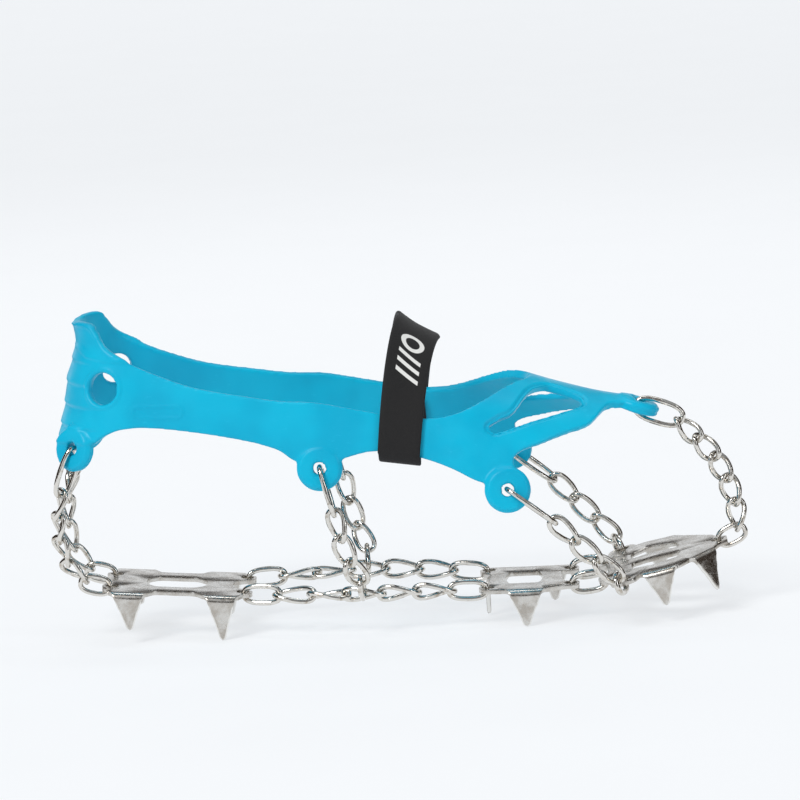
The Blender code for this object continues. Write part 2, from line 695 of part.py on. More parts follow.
REAR_EYE = surface(HEEL_X - HEEL_ARC * 0.52, crown_angle(HEEL_X, 92.0)) + Vector((-1.6, -1.6, 0.0))
STRANDS = {
    "rear": {
        "eye": REAR_EYE, "normal": (-0.58, -0.78, 0.22),
        "path": [(-150.2, 71.5), (-153.5, 58.5), (-153.6, 46.0), (-150.2, 34.5), (-142.8, 27.0)],
        "path_y": [-24.0, -21.0, -18.0, -15.5, -13.6],
        "hole": (-131.0, -13.0, height_at(HEEL_PROFILE, -131.0) - PLATE / 2), "hole_normal": (0.08, 0, 1),
        "hole_inset": 0.8, "links": 5,
    },
    "mid": {
        "eye": (-30.0, -42.0, 81.0), "normal": (0.0, -1.0, 0.0),
        "path": [(-24.8, 60.5), (-22.6, 47.0), (-19.0, 34.5), (-14.2, 25.4)],
        "path_y": [-44.0, -44.5, -42.0, -36.0],
        "hole": (0.0, 0.0, 0.0), "hole_normal": (0, 0, 1), "hole_inset": 0.0, "links": 4,
    },
    "fore": {
        "eye": (54.4, -50.0, 68.5), "normal": (0.0, -1.0, 0.25),
        "path": [(74.2, 53.0), (87.0, 38.5)],
        "path_y": [-50.5, -50.0],
        "hole": (105.5, -33.0, height_at(FRONT_PROFILE, 105.5) - PLATE / 2), "hole_normal": (-0.28, 0, 1),
        "hole_inset": 0.8, "links": 3, "ring": (102.0, -46.0, 22.4),
    },
    "toe": {
        "eye": (114.6, 0.0, 95.4), "normal": (0.28, 0.0, 1.0),
        "path": [(134.0, 88.3), (143.2, 79.0), (152.5, 67.8), (157.6, 55.5), (160.4, 42.5), (158.8, 32.6)],
        "path_y": [0.0] * 6,
        "hole": (149.0, 0.0, height_at(FRONT_PROFILE, 149.0) - PLATE / 2), "hole_normal": (-0.16, 0, 1),
        "hole_inset": 0.8, "links": 6,
    },
}
UNDERFOOT = {
    "path": [(-70.0, -16.4, height_at(HEEL_PROFILE, -70.5) - PLATE / 2), (-40.0, -23.0, 18.6),
             (-10.0, -27.0, 18.4), (16.0, -23.5, 17.6), (41.9, -19.0, MIDDLE_PROFILE[0][1] - PLATE / 2)],
    "links": 7, "tee_link": 3, "tee_pull": (0.0, -1.0, 0.74),
}
CONNECTING_HOLES = [(80.5, -16.0, height_at(MIDDLE_PROFILE, 80.5) - PLATE / 2),
                    (97.5, -16.0, height_at(FRONT_PROFILE, 97.5) - PLATE / 2)]


def settle_routes():
    """Give the strands' side-view routes their Y, and hook the mid strand into its underfoot link."""
    for strand in STRANDS.values():
        strand["path"] = [(x, y, z) for (x, z), y in zip(strand["path"], strand["path_y"])]
    _, start, end, plane, *_ = underfoot_links()[UNDERFOOT["tee_link"]]
    STRANDS["mid"]["hole"] = tuple((start + end) / 2)
    STRANDS["mid"]["hole_normal"] = tuple((end - start).normalized().cross(plane))


# ---------------------------------------------------------------- strap

STRAP_FOLD = (6.5, 86.2)        # X and height of the axis that each end folds round
STRAP_CREST_X = 14.9            # X of its middle over the instep
STRAP_FOLD_SLOPE = -0.142
STRAP_CLEAR = SHEET / 2 + 0.7 + STRAP_THICK / 2
STRAP_TAIL_HEIGHT = 97.0        # where the folded end stops, inside the harness arm
STRAP_RUN_STEPS = 12
STRAP_FOLD_STEPS = 6


def strap_point(stage, across, offset):
    """Point of the strap's right half: stage 0 crest, 1 fold begins, 2 fold ends, 3 tail; across -1 to 1."""
    run = min(stage, 1.0)
    x = STRAP_CREST_X + (STRAP_FOLD[0] - STRAP_CREST_X) * run + across * STRAP_WIDTH / 2
    fold_z = STRAP_FOLD[1] + STRAP_FOLD_SLOPE * across * STRAP_WIDTH / 2
    low = crown_angle(x, fold_z)
    if stage <= 1:
        angle = low * stage
        return surface(x, angle) + surface_normal(x, angle) * (STRAP_CLEAR + offset)
    outward = surface_normal(x, low)
    outward = Vector((0.0, outward.y, 0.0)).normalized()
    turn = math.pi * min(stage - 1, 1.0)
    round_fold = outward * math.cos(turn) + Vector((0, 0, -math.sin(turn)))
    point = surface(x, low) + round_fold * (STRAP_CLEAR + offset)
    if stage > 2:
        angle = low + (crown_angle(x, STRAP_TAIL_HEIGHT) - low) * (stage - 2)
        point = surface(x, angle) - surface_normal(x, angle) * (STRAP_CLEAR + offset)
    return point


def build_strap():
    """Band over the instep whose ends fold round the lower edge of both harness arms."""
    stages = list(np.linspace(0, 1, STRAP_RUN_STEPS + 1)) + list(np.linspace(1, 2, STRAP_FOLD_STEPS + 1))[1:]
    stages += [2.35, 3.0]
    corners = ((-1, -1), (1, -1), (1, 1), (-1, 1))
    right = [[strap_point(stage, w, t * STRAP_THICK / 2) for w, t in corners] for stage in stages]
    left = [[mirrored(p) for p in ring] for ring in right]
    bm = bmesh.new()
    rings = [[bm.verts.new(world(p)) for p in ring] for ring in list(reversed(left[1:])) + right]
    for here, there in zip(rings, rings[1:]):
        for s in range(4):
            n = (s + 1) % 4
            bm.faces.new((here[s], here[n], there[n], there[s]))
    bm.faces.new(list(reversed(rings[0])))
    bm.faces.new(rings[-1])
    bmesh.ops.recalc_face_normals(bm, faces=bm.faces[:])
    add_object("instep_strap", bm, LOOK_STRAP)


# ---------------------------------------------------------------- assembly

for old in list(bpy.data.objects):
    bpy.data.objects.remove(old, do_unlink=True)

LOOK_TPE = material("tpe_blue", TPE_BLUE, 0.42, 0.0)
LOOK_STEEL = material("stainless_steel", STEEL, 0.28, 1.0)
LOOK_STRAP = material("strap_black", STRAP_BLACK, 0.75, 0.0)

settle_routes()
build_harness()
build_strap()
for plate_name, plate_data in PLATES.items():
    build_plate(plate_name, plate_data)
for strand_name, strand_data in STRANDS.items():
    strand_pieces = strand_links(strand_name, strand_data)
    if strand_name == "toe":
        build_pieces("toe", strand_pieces, False)
    else:
        build_pieces(strand_name + "_right", strand_pieces, False)
        build_pieces(strand_name + "_left", strand_pieces, True)
for left in (False, True):
    build_pieces("underfoot_left" if left else "underfoot_right", underfoot_links(), left)
    build_connecting_ring(left)
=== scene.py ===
"""Looks of a chain crampon (microspike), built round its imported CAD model."""
import json
import math

import bmesh
import bpy
import numpy as np
from mathutils import Matrix, Vector
from mathutils.kdtree import KDTree

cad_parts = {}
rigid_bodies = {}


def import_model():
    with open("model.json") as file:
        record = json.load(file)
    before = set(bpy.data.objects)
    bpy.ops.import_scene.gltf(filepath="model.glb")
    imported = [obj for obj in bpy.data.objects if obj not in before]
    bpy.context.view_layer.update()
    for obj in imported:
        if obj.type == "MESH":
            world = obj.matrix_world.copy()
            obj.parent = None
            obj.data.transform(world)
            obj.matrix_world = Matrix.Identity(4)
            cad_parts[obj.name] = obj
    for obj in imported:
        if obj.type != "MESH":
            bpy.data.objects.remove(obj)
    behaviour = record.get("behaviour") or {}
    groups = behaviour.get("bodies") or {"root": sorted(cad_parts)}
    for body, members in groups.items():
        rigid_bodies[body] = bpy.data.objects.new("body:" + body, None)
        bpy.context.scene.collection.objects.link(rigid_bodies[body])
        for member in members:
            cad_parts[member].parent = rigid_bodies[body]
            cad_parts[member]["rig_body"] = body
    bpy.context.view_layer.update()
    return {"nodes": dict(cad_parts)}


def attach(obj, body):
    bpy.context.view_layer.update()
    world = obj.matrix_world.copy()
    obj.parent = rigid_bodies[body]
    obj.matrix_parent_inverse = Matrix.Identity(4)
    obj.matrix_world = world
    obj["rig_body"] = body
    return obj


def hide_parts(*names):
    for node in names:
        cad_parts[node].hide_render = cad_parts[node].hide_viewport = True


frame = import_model()

MM = 0.001                      # lengths below are in millimetres
X_SHIFT = -3.2                  # puts the origin under the middle of the overall length
GAP = 0.3                       # clear gap between pieces that touch

# harness
SHEET = 4.0                     # wall thickness
BOSS_RADIUS = 10.5
BOSS_THICK = 5.4
EYE_RADIUS = 3.2
HEEL_HOLE_RADIUS = 7.3
HEEL_X = -116.0                 # where the heel's round begins
HEEL_ARC = 55.0                 # girth from there to the middle of the heel

# chain
WIRE = 2.4                      # wire diameter
LINK_WIDTH = 10.4               # outer width of a twisted link
LONG_WIDTH = 12.6               # outer width of the link that holds an eyelet
RING_WIRE = 2.8
RING_WIDTH = 11.5
TWIST = 90.0                    # degrees from one end of a twisted link to the other
ROUNDNESS = 2.6                 # exponent of the link's superellipse outline
END_BEND = 0.95                 # radius of a link's end, as a share of half its width
SETTLING_ROUNDS = 30
CROSSING = WIRE + GAP           # distance between the wire centres of two hooked links
EYE_SEAT = 0.5                  # how far a long link's wire sits from its eyelet's middle, against the pull
RING_INSET = 0.7                # how far a connecting ring's wires sit inside its two lug holes

# plates
PLATE = 2.0                     # steel thickness
HOLE_RADIUS = 3.0

# strap
STRAP_WIDTH = 19.0
STRAP_THICK = 1.8
STRAP_LIFT = 0.7                # gap between the strap and the harness arm

# mesh density of a link: points along its loop, points round its wire
LINK_STEPS = 72
WIRE_SIDES = 16


# ---------------------------------------------------------------- the boot form that the harness follows

# stations along X: half width, height of the widest level, rise from there to the crown
FORM = [
    (-160.0, 34.0, 85.0, 90.0),
    (-116.0, 34.0, 85.0, 90.0),
    (-80.0, 37.5, 85.0, 90.0),
    (-40.0, 40.5, 85.0, 88.0),
    (-10.0, 43.0, 80.0, 74.0),
    (15.0, 46.0, 72.0, 61.0),
    (40.0, 49.5, 64.0, 56.5),
    (65.0, 49.0, 58.0, 52.5),
    (80.0, 46.0, 55.0, 50.5),
    (98.0, 38.0, 52.0, 48.5),
    (112.0, 32.0, 50.5, 47.5),
    (128.0, 24.0, 49.0, 47.0),
]
# rear face of the heel: height, X
HEEL_BACK = [(86.0, -150.5), (94.0, -149.6), (100.5, -148.1), (110.0, -145.7), (120.0, -144.3),
             (130.0, -141.2), (139.0, -139.2), (149.0, -140.6)]


def smooth_lookup(table, x, column=1):
    """Value of a table's column at x, on a smooth monotone-safe curve through its rows."""
    xs = [row[0] for row in table]
    ys = [row[column] for row in table]
    if x <= xs[0]:
        return ys[0]
    if x >= xs[-1]:
        return ys[-1]
    i = max(k for k in range(len(xs) - 1) if xs[k] <= x)
    slopes = [(ys[k + 1] - ys[k]) / (xs[k + 1] - xs[k]) for k in range(len(xs) - 1)]

    def tangent(k):
        if k == 0 or k == len(xs) - 1 or slopes[k - 1] * slopes[k] <= 0:
            return 0.0 if 0 < k < len(xs) - 1 else slopes[min(k, len(slopes) - 1)]
        return 2 * slopes[k - 1] * slopes[k] / (slopes[k - 1] + slopes[k])

    h = xs[i + 1] - xs[i]
    t = (x - xs[i]) / h
    a = (2 * t ** 3 - 3 * t ** 2 + 1) * ys[i] + (t ** 3 - 2 * t ** 2 + t) * h * tangent(i)
    b = (-2 * t ** 3 + 3 * t ** 2) * ys[i + 1] + (t ** 3 - t ** 2) * h * tangent(i + 1)
    return a + b


def form(x):
    return [smooth_lookup(FORM, x, column) for column in (1, 2, 3)]


def surface(u, angle):
    """Point of the form on the -Y side.

    u runs along the sole and round the heel, and angle from the crown down.
    """
    half, level, rise = form(max(u, HEEL_X))
    z = level + rise * math.cos(math.radians(angle))
    y = -half * math.sin(math.radians(angle))
    if u >= HEEL_X:
        return Vector((u, y, z))
    around = math.radians(90 * (1 - (HEEL_X - u) / HEEL_ARC))
    back = smooth_lookup(HEEL_BACK, z)
    return Vector((HEEL_X - (HEEL_X - back) * math.cos(around), y * math.sin(around), z))


def surface_normal(u, angle):
    """Outward normal of the form."""
    du = surface(u + 0.5, angle) - surface(u - 0.5, angle)
    da = surface(u, angle + 0.5) - surface(u, angle - 0.5)
    normal = du.cross(da).normalized()
    core = Vector((max(u, HEEL_X), 0.0, form(max(u, HEEL_X))[1] - 20.0))
    return normal if normal.dot(surface(u, angle) - core) > 0 else -normal


def crown_angle(x, z):
    _, level, rise = form(max(x, HEEL_X))
    return math.degrees(math.acos(max(-1.0, min(1.0, (z - level) / rise))))


def side(x, z):
    """Pattern point seen from the side at x, z."""
    if x >= HEEL_X:
        return (x, crown_angle(x, z))
    back = smooth_lookup(HEEL_BACK, z)
    around = math.acos(min(1.0, (HEEL_X - x) / (HEEL_X - back)))
    return (HEEL_X - HEEL_ARC * (1 - math.degrees(around) / 90), crown_angle(HEEL_X, z))


def top(x, y):
    """Pattern point seen from above at x, distance y from the middle."""
    return (x, math.degrees(math.asin(y / form(x)[0])))


def heel(z):
    """Pattern point on the middle line of the heel at height z."""
    return (HEEL_X - HEEL_ARC, crown_angle(HEEL_X, z))


OUTLINE = [
    heel(146.6), side(-137.0, 147.6), side(-132.0, 147.3), side(-129.0, 143.5), side(-124.8, 137.2),
    side(-115.0, 131.0), side(-103.6, 125.8), side(-85.5, 119.2), side(-62.7, 114.6), side(-39.9, 111.3),
    side(-17.1, 107.7), side(0.0, 103.6), side(10.0, 101.6), side(19.4, 100.8), side(28.0, 101.0),
    side(36.0, 102.8), side(44.0, 105.6), side(52.3, 108.6), top(59.0, 15.0), top(63.5, 8.0), top(65.4, 0.0),
    top(113.0, 0.0), top(113.0, 7.0), top(107.0, 8.5), top(101.0, 12.0), side(93.0, 92.0), side(82.8, 90.0),
    side(70.4, 87.0), side(62.5, 85.0), side(58.2, 82.5), side(57.6, 79.5), side(59.0, 73.5),
    side(54.4, 71.0),
    side(48.0, 71.0), side(40.8, 73.0), side(31.9, 77.9), side(24.0, 81.4), side(15.7, 84.2), side(6.0, 87.0),
    side(-2.0, 87.8), side(-10.0, 87.2), side(-18.0, 85.2), side(-24.0, 83.0), side(-30.0, 82.0),
    side(-36.0, 83.0), side(-42.0, 85.2), side(-48.0, 89.6), side(-59.3, 93.6), side(-77.5, 97.6),
    side(-95.0, 100.4), side(-109.5, 101.8), side(-120.0, 101.2), side(-127.0, 98.6), side(-132.0, 95.0),
    side(-137.0, 92.6), side(-143.0, 92.2), heel(93.5),
]
WINDOW = [
    side(47.0, 95.3), side(48.2, 93.4), side(50.5, 92.6), side(58.0, 94.0), side(66.6, 95.8),
    side(76.0, 97.0),
    top(87.0, 19.0), top(89.5, 14.0), top(87.0, 10.0), top(78.0, 8.0), top(72.5, 9.5), top(66.0, 18.0),
    side(58.7, 100.3), side(52.0, 97.8),
]
HEEL_HOLE = side(-127.0, 119.8)


# ---------------------------------------------------------------- helpers


def world(p):
    return Vector((p[0] + X_SHIFT, p[1], p[2])) * MM


def eyelets():
    """Name, centre, disc normal and pull direction of each eyelet on the -Y side and on the toe."""
    found = []
    for name, strand in STRANDS.items():
        centre = Vector(strand["eye"])
        pull = (Vector(strand["path"][0]) - centre).normalized()
        normal = Vector(strand["normal"])
        normal = (normal - pull * normal.dot(pull)).normalized()
        found.append((name, centre, normal, pull))
    return found


def mirrored(p):
    return Vector((p[0], -p[1], p[2]))


def on_middle_line(pattern_point):
    u, angle = pattern_point[:2]
    return abs(u - (HEEL_X - HEEL_ARC)) < 1e-3 or abs(angle) < 1e-3


# ---------------------------------------------------------------- chain


def curve_through(points, steps=40):
    """Dense smooth curve through points (centripetal enough for evenly spaced points)."""
    pts = [Vector(p) for p in points]
    pts = [pts[0] * 2 - pts[1]] + pts + [pts[-1] * 2 - pts[-2]]
    dense = []
    for k in range(1, len(pts) - 2):
        a, b, c, d = pts[k - 1:k + 3]
        for s in range(steps):
            t = s / steps
            dense.append(0.5 * (2 * b + (c - a) * t + (2 * a - 5 * b + 4 * c - d) * t ** 2
                                + (3 * b - a - 3 * c + d) * t ** 3))
    dense.append(pts[-2])
    return dense


def even_nodes(points, count):
    """count + 1 points evenly spaced along the smooth curve through points."""
    dense = curve_through(points)
    lengths = [0.0]
    for a, b in zip(dense, dense[1:]):
        lengths.append(lengths[-1] + (b - a).length)
    nodes = []
    for k in range(count + 1):
        wanted = lengths[-1] * k / count
        i = min(max(j for j in range(len(lengths)) if lengths[j] <= wanted + 1e-9), len(dense) - 2)
        t = (wanted - lengths[i]) / (lengths[i + 1] - lengths[i])
        nodes.append(dense[i].lerp(dense[i + 1], min(1.0, t)))
    return nodes


def turned(vector, axis, degrees):
    return Matrix.Rotation(math.radians(degrees), 3, Vector(axis).normalized()) @ Vector(vector)


def flat_to(vector, axis):
    axis = Vector(axis).normalized()
    return (Vector(vector) - axis * Vector(vector).dot(axis)).normalized()


def signed_angle(a, b, axis):
    return math.degrees(math.atan2(Vector(axis).normalized().dot(a.cross(b)), a.dot(b)))


def chain_planes(axes, start_plane, end_plane, middle=None):
    """Middle-plane direction and twist of each link of a chain, so that hooked links cross squarely.

    start_plane and end_plane are directions in the first link's first end and the last link's far end.
    middle is (index, direction) of a link whose middle plane is given too. Directions are carried along
    the chain without turning, and the leftover turn is shared out as a little more or less twist per link.
    """
    carried = [flat_to(start_plane, axes[0])]
    for axis in axes[1:]:
        carried.append(flat_to(carried[-1], axis))
    last = len(axes) - 1
    stops = [(last, 1.0, end_plane)]
    if middle:
        stops.insert(0, (middle[0], 0.5, middle[1]))
    places = [0.0]
    extras = [0.0]
    for k, part, direction in stops:
        wanted = signed_angle(carried[k], flat_to(direction, axes[k]), axes[k])
        plain = k * (TWIST + 90) + part * TWIST
        extras.append(extras[-1] + (wanted - plain - extras[-1] + 90) % 180 - 90)
        places.append(k + part)

    def extra(place_on_chain):
        return float(np.interp(place_on_chain, places, extras))

    planes = []
    for k, axis in enumerate(axes):
        turn = k * (TWIST + 90) + TWIST / 2 + extra(k + 0.5)
        planes.append((turned(carried[k], axis, turn), TWIST + extra(k + 1) - extra(k)))
    return planes


def hooked_start(tip, axis, plane, bend, next_axis, next_plane, next_bend, crossing):
    """Where the next link's end wire crosses its own axis, once it bears on the inside of this link's end.

    tip is this link's end wire on its axis. plane and next_plane are directions in the two end planes, bend
    and next_bend the radii of the two ends, and crossing the distance between the two wires' centres.
    """
    flat = axis.cross(plane).normalized()
    toward = (next_axis - flat * next_axis.dot(flat)).normalized()
    bearing = tip - axis * bend + toward * (bend - crossing)
    next_flat = next_axis.cross(next_plane).normalized()
    away = (toward - next_flat * toward.dot(next_flat)).normalized()
    return bearing + (away - next_axis) * next_bend


def hang_chain(nodes, goal, start_plane, end_plane, first_tip=None, holder=None, middle=None,
               last_size=(LINK_WIDTH, WIRE)):
    """Start, end, middle plane and twist of each link along nodes, each hooked on the one before it.

    The first link hooks on holder, the (tip, axis, plane, bend) of a link before it, or is a flat link
    from first_tip. The last link is flat in end_plane. The nodes are shifted a little at a time until its
    far end is at goal.
    """
    nodes = [Vector(p) for p in nodes]
    count = len(nodes) - 1
    flat_start = 0 if holder else 1
    bends = [(LINK_WIDTH - WIRE) / 2 * END_BEND] * (count - 1)
    bends.append((last_size[0] - last_size[1]) / 2 * END_BEND)
    crossings = [CROSSING] * (count - 1) + [(WIRE + last_size[1]) / 2 + GAP]
    for _ in range(SETTLING_ROUNDS):
        axes = [(b - a).normalized() for a, b in zip(nodes, nodes[1:])]
        last_plane = flat_to(end_plane, axes[-1])
        planes = []
        chain_start = start_plane
        if flat_start:
            planes.append((flat_to(start_plane, axes[0]), 0.0))
            chain_start = turned(planes[0][0], axes[0], 90)
        chain_middle = (middle[0] - flat_start, middle[1]) if middle else None
        chain_end = turned(last_plane, axes[-1], 90)
        planes += chain_planes(axes[flat_start:-1], chain_start, chain_end, chain_middle)
        planes.append((last_plane, 0.0))
        links = []
        before = holder
        for k, (axis, (plane, twist)) in enumerate(zip(axes, planes)):
            start_dir = turned(plane, axis, -twist / 2)
            if before:
                start = hooked_start(*before, axis, start_dir, bends[k], crossings[k])
            else:
                start = Vector(first_tip)
            hooks = 2 - (k == 0 and flat_start) - (k == count - 1)
            end = start + axis * ((nodes[k + 1] - nodes[k]).length + hooks * CROSSING / 2)
            links.append((start, end, plane, twist))
            before = (end, axis, turned(plane, axis, twist / 2), bends[k])
        miss = Vector(goal) - links[-1][1]
        nodes = [node + miss * k / count for k, node in enumerate(nodes)]
    return links


def strand_links(name, strand):
    """Name, start, end, middle plane, twist, width and wire of each piece of a strand on the -Y side."""
    _, eye, normal, pull = next(item for item in eyelets() if item[0] == name)
    path = [Vector(p) for p in strand["path"]]
    hole = Vector(strand["hole"])
    ring = strand.get("ring")
    approach = (hole - Vector(ring or path[-1])).normalized()
    goal = hole - approach * strand["hole_inset"]
    nodes = even_nodes(path + [ring or goal], strand["links"]) + ([goal] if ring else [])
    first_axis = (nodes[1] - nodes[0]).normalized()
    tip = eye - pull * EYE_SEAT
    long_axis = (nodes[0] - tip).normalized()
    long_end = nodes[0] + long_axis * CROSSING / 2
    pieces = [("long_link", tip, long_end, normal, 0.0, LONG_WIDTH, WIRE)]
    holder = (long_end, long_axis, flat_to(normal, long_axis), (LONG_WIDTH - WIRE) / 2 * END_BEND)
    last_size = (RING_WIDTH, RING_WIRE) if ring else (LINK_WIDTH, WIRE)
    links = hang_chain(nodes, goal, turned(flat_to(normal, first_axis), first_axis, 90),
                       strand["hole_normal"], holder=holder, last_size=last_size)
    for k, link in enumerate(links):
        is_ring = ring and k == len(links) - 1
        size = last_size if is_ring else (LINK_WIDTH, WIRE)
        pieces.append(("ring" if is_ring else f"link_{k + 1}", *link, *size))
    return pieces


def underfoot_links():
    """Chain under the arch from the heel plate to the middle plate; the mid strand hooks into one link."""
    path = [Vector(p) for p in UNDERFOOT["path"]]
    up = Vector((0, 0, 1))
    middle = (UNDERFOOT["tee_link"], Vector(UNDERFOOT["tee_pull"]))
    nodes = even_nodes(path, UNDERFOOT["links"])
    links = hang_chain(nodes, path[-1], up, up, first_tip=path[0], middle=middle)
    return [(f"link_{k + 1}", *link, LINK_WIDTH, WIRE) for k, link in enumerate(links)]


def build_connecting_ring(flip):
    rear, front = (Vector(p) for p in CONNECTING_HOLES)
    if flip:
        rear, front = mirrored(rear), mirrored(front)
    along = (front - rear).normalized()
    label = "connecting_ring_left" if flip else "connecting_ring_right"
    inset = along * RING_INSET
    link_between(label, rear + inset, front - inset, (0, 0, 1), 0.0, RING_WIDTH, RING_WIRE)


# ---------------------------------------------------------------- plates


def circle(x, y, radius, sides=12):
    turns = [2 * math.pi * (k + 0.5) / sides for k in range(sides)]
    return [(x + radius * math.cos(t), y + radius * math.sin(t)) for t in turns]


def height_at(profile, x):
    return float(np.interp(x, [p[0] for p in profile], [p[1] for p in profile]))


def both_sides(half):
    """Closed outline from points with y > 0, ordered from rear to front."""
    return half + [(x, -y) for x, y in reversed(half)]


HEEL_PROFILE = [(-136.0, 25.2), (-66.0, 19.3)]
MIDDLE_PROFILE = [(36.0, 17.0), (86.0, 17.0)]
FRONT_PROFILE = [(92.0, 17.4), (116.0, 24.2), (153.5, 31.4)]

PLATES = {
    "heel_plate": {
        "profile": HEEL_PROFILE,
        "outline": both_sides([(-134.5, 8.5), (-135.5, 11.0), (-135.5, 15.5), (-132.5, 18.0), (-131.5, 27.0),
                               (-114.0, 27.0), (-111.0, 20.0), (-92.0, 20.0), (-88.5, 27.0), (-72.0, 27.0),
                               (-70.5, 20.5), (-66.5, 18.5), (-66.0, 13.5), (-69.0, 10.5), (-76.0, 7.0)]),
        "cutouts": [both_sides([(-116.0, 5.0), (-111.0, 10.5), (-93.0, 10.5), (-88.0, 5.0)])],
        "holes": [(-131.0, 13.0), (-131.0, -13.0), (-70.5, 15.5), (-70.5, -15.5)],
        "spikes": [((-131.0, s * 27), (-114.5, s * 27), (-122.5, s * 27, 6.7)) for s in (-1, 1)]
                  + [((-88.0, s * 27), (-72.5, s * 27), (-80.0, s * 27, 0.0)) for s in (-1, 1)],
    },
    "middle_plate": {
        "profile": MIDDLE_PROFILE,
        "outline": [(42.0, -8.0), (39.0, -13.0), (38.0, -20.0), (41.5, -24.0), (50.0, -27.0), (69.0, -27.0),
                    (77.0, -21.0), (84.5, -20.0), (84.5, -12.0), (77.0, -11.0), (76.0, 11.0), (84.5, 12.0),
                    (84.5, 20.0), (81.5, 25.0), (63.5, 25.0), (50.0, 24.0), (41.5, 24.0), (38.0, 20.0),
                    (39.0, 13.0), (42.0, 8.0)],
        "cutouts": [[(52.0, -12.0), (66.0, -12.0), (68.0, 0.0), (66.0, 12.0), (52.0, 12.0), (50.0, 0.0)]],
        "holes": [(42.5, 18.5), (42.5, -18.5), (80.5, 16.0), (80.5, -16.0)],
        "spikes": [((50.5, -27.0), (68.5, -27.0), (59.7, -27.0, 0.0)),
                   ((64.0, 25.0), (81.0, 25.0), (72.6, 25.0, 0.0)),
                   ((42.0, 7.5), (42.0, -7.5), (42.0, 0.0, 0.8))],
    },
    "front_plate": {
        "profile": FRONT_PROFILE,
        "outline": both_sides([(98.0, 8.0), (93.5, 11.5), (93.5, 20.5), (98.0, 24.0), (99.0, 34.0),
                               (102.5, 37.6),
                               (109.5, 37.6), (112.0, 34.0), (130.0, 34.0), (136.0, 27.5), (148.5, 14.0),
                               (149.5, 7.0), (153.5, 4.5), (153.5, 1.0)]),
        "cutouts": [[(109.0, s * 5), (109.0, s * 16), (118.0, s * 21), (130.0, s * 16), (132.0, s * 5)]
                    for s in (-1, 1)],
        "holes": [(97.5, 16.0), (97.5, -16.0), (105.5, 33.0), (105.5, -33.0), (149.0, 0.0)],
        "spikes": [((112.5, s * 34), (129.5, s * 34), (123.8, s * 34, 8.5)) for s in (-1, 1)]
                  + [((136.5, s * 27.0), (148.2, s * 14.4), (147.6, s * 22.4, 12.1)) for s in (-1, 1)],
    },
}


# ---------------------------------------------------------------- chain routes, on the -Y side

REAR_EYE = surface(HEEL_X - HEEL_ARC * 0.52, crown_angle(HEEL_X, 92.0)) + Vector((-1.6, -1.6, 0.0))
STRANDS = {
    "rear": {
        "eye": REAR_EYE, "normal": (-0.58, -0.78, 0.22),
        "path": [(-150.2, 71.5), (-153.5, 58.5), (-153.6, 46.0), (-150.2, 34.5), (-142.8, 27.0)],
        "path_y": [-24.0, -21.0, -18.0, -15.5, -13.6],
        "hole": (-131.0, -13.0, height_at(HEEL_PROFILE, -131.0) - PLATE / 2), "hole_normal": (0.08, 0, 1),
        "hole_inset": 0.8, "links": 5,
    },
    "mid": {
        "eye": (-30.0, -42.0, 81.0), "normal": (0.0, -1.0, 0.0),
        "path": [(-24.8, 60.5), (-22.6, 47.0), (-19.0, 34.5), (-14.2, 25.4)],
        "path_y": [-44.0, -44.5, -42.0, -36.0],
        "hole": (0.0, 0.0, 0.0), "hole_normal": (0, 0, 1), "hole_inset": 0.0, "links": 4,
    },
    "fore": {
        "eye": (54.4, -50.0, 68.5), "normal": (0.0, -1.0, 0.25),
        "path": [(74.2, 53.0), (87.0, 38.5)],
        "path_y": [-50.5, -50.0],
        "hole": (105.5, -33.0, height_at(FRONT_PROFILE, 105.5) - PLATE / 2), "hole_normal": (-0.28, 0, 1),
        "hole_inset": 0.8, "links": 3, "ring": (102.0, -46.0, 22.4),
    },
    "toe": {
        "eye": (114.6, 0.0, 95.4), "normal": (0.28, 0.0, 1.0),
        "path": [(134.0, 88.3), (143.2, 79.0), (152.5, 67.8), (157.6, 55.5), (160.4, 42.5), (158.8, 32.6)],
        "path_y": [0.0] * 6,
        "hole": (149.0, 0.0, height_at(FRONT_PROFILE, 149.0) - PLATE / 2), "hole_normal": (-0.16, 0, 1),
        "hole_inset": 0.8, "links": 6,
    },
}
UNDERFOOT = {
    "path": [(-70.0, -16.4, height_at(HEEL_PROFILE, -70.5) - PLATE / 2), (-40.0, -23.0, 18.6),
             (-10.0, -27.0, 18.4), (16.0, -23.5, 17.6), (41.9, -19.0, MIDDLE_PROFILE[0][1] - PLATE / 2)],
    "links": 7, "tee_link": 3, "tee_pull": (0.0, -1.0, 0.74),
}
CONNECTING_HOLES = [(80.5, -16.0, height_at(MIDDLE_PROFILE, 80.5) - PLATE / 2),
                    (97.5, -16.0, height_at(FRONT_PROFILE, 97.5) - PLATE / 2)]


def settle_routes():
    """Give the strands' side-view routes their Y, and hook the mid strand into its underfoot link."""
    for strand in STRANDS.values():
        strand["path"] = [(x, y, z) for (x, z), y in zip(strand["path"], strand["path_y"])]
    _, start, end, plane, *_ = underfoot_links()[UNDERFOOT["tee_link"]]
    STRANDS["mid"]["hole"] = tuple((start + end) / 2)
    STRANDS["mid"]["hole_normal"] = tuple((end - start).normalized().cross(plane))

STRAP_FOLD = (6.5, 86.2)        # X and height of the axis that each end folds round
STRAP_CREST_X = 14.9            # X of its middle over the instep
STRAP_FOLD_SLOPE = -0.142       # rise of that axis along X
STRAP_CLEAR = SHEET / 2 + STRAP_LIFT + STRAP_THICK / 2
STRAP_TAIL_HEIGHT = 97.0        # where the folded end stops, inside the harness arm


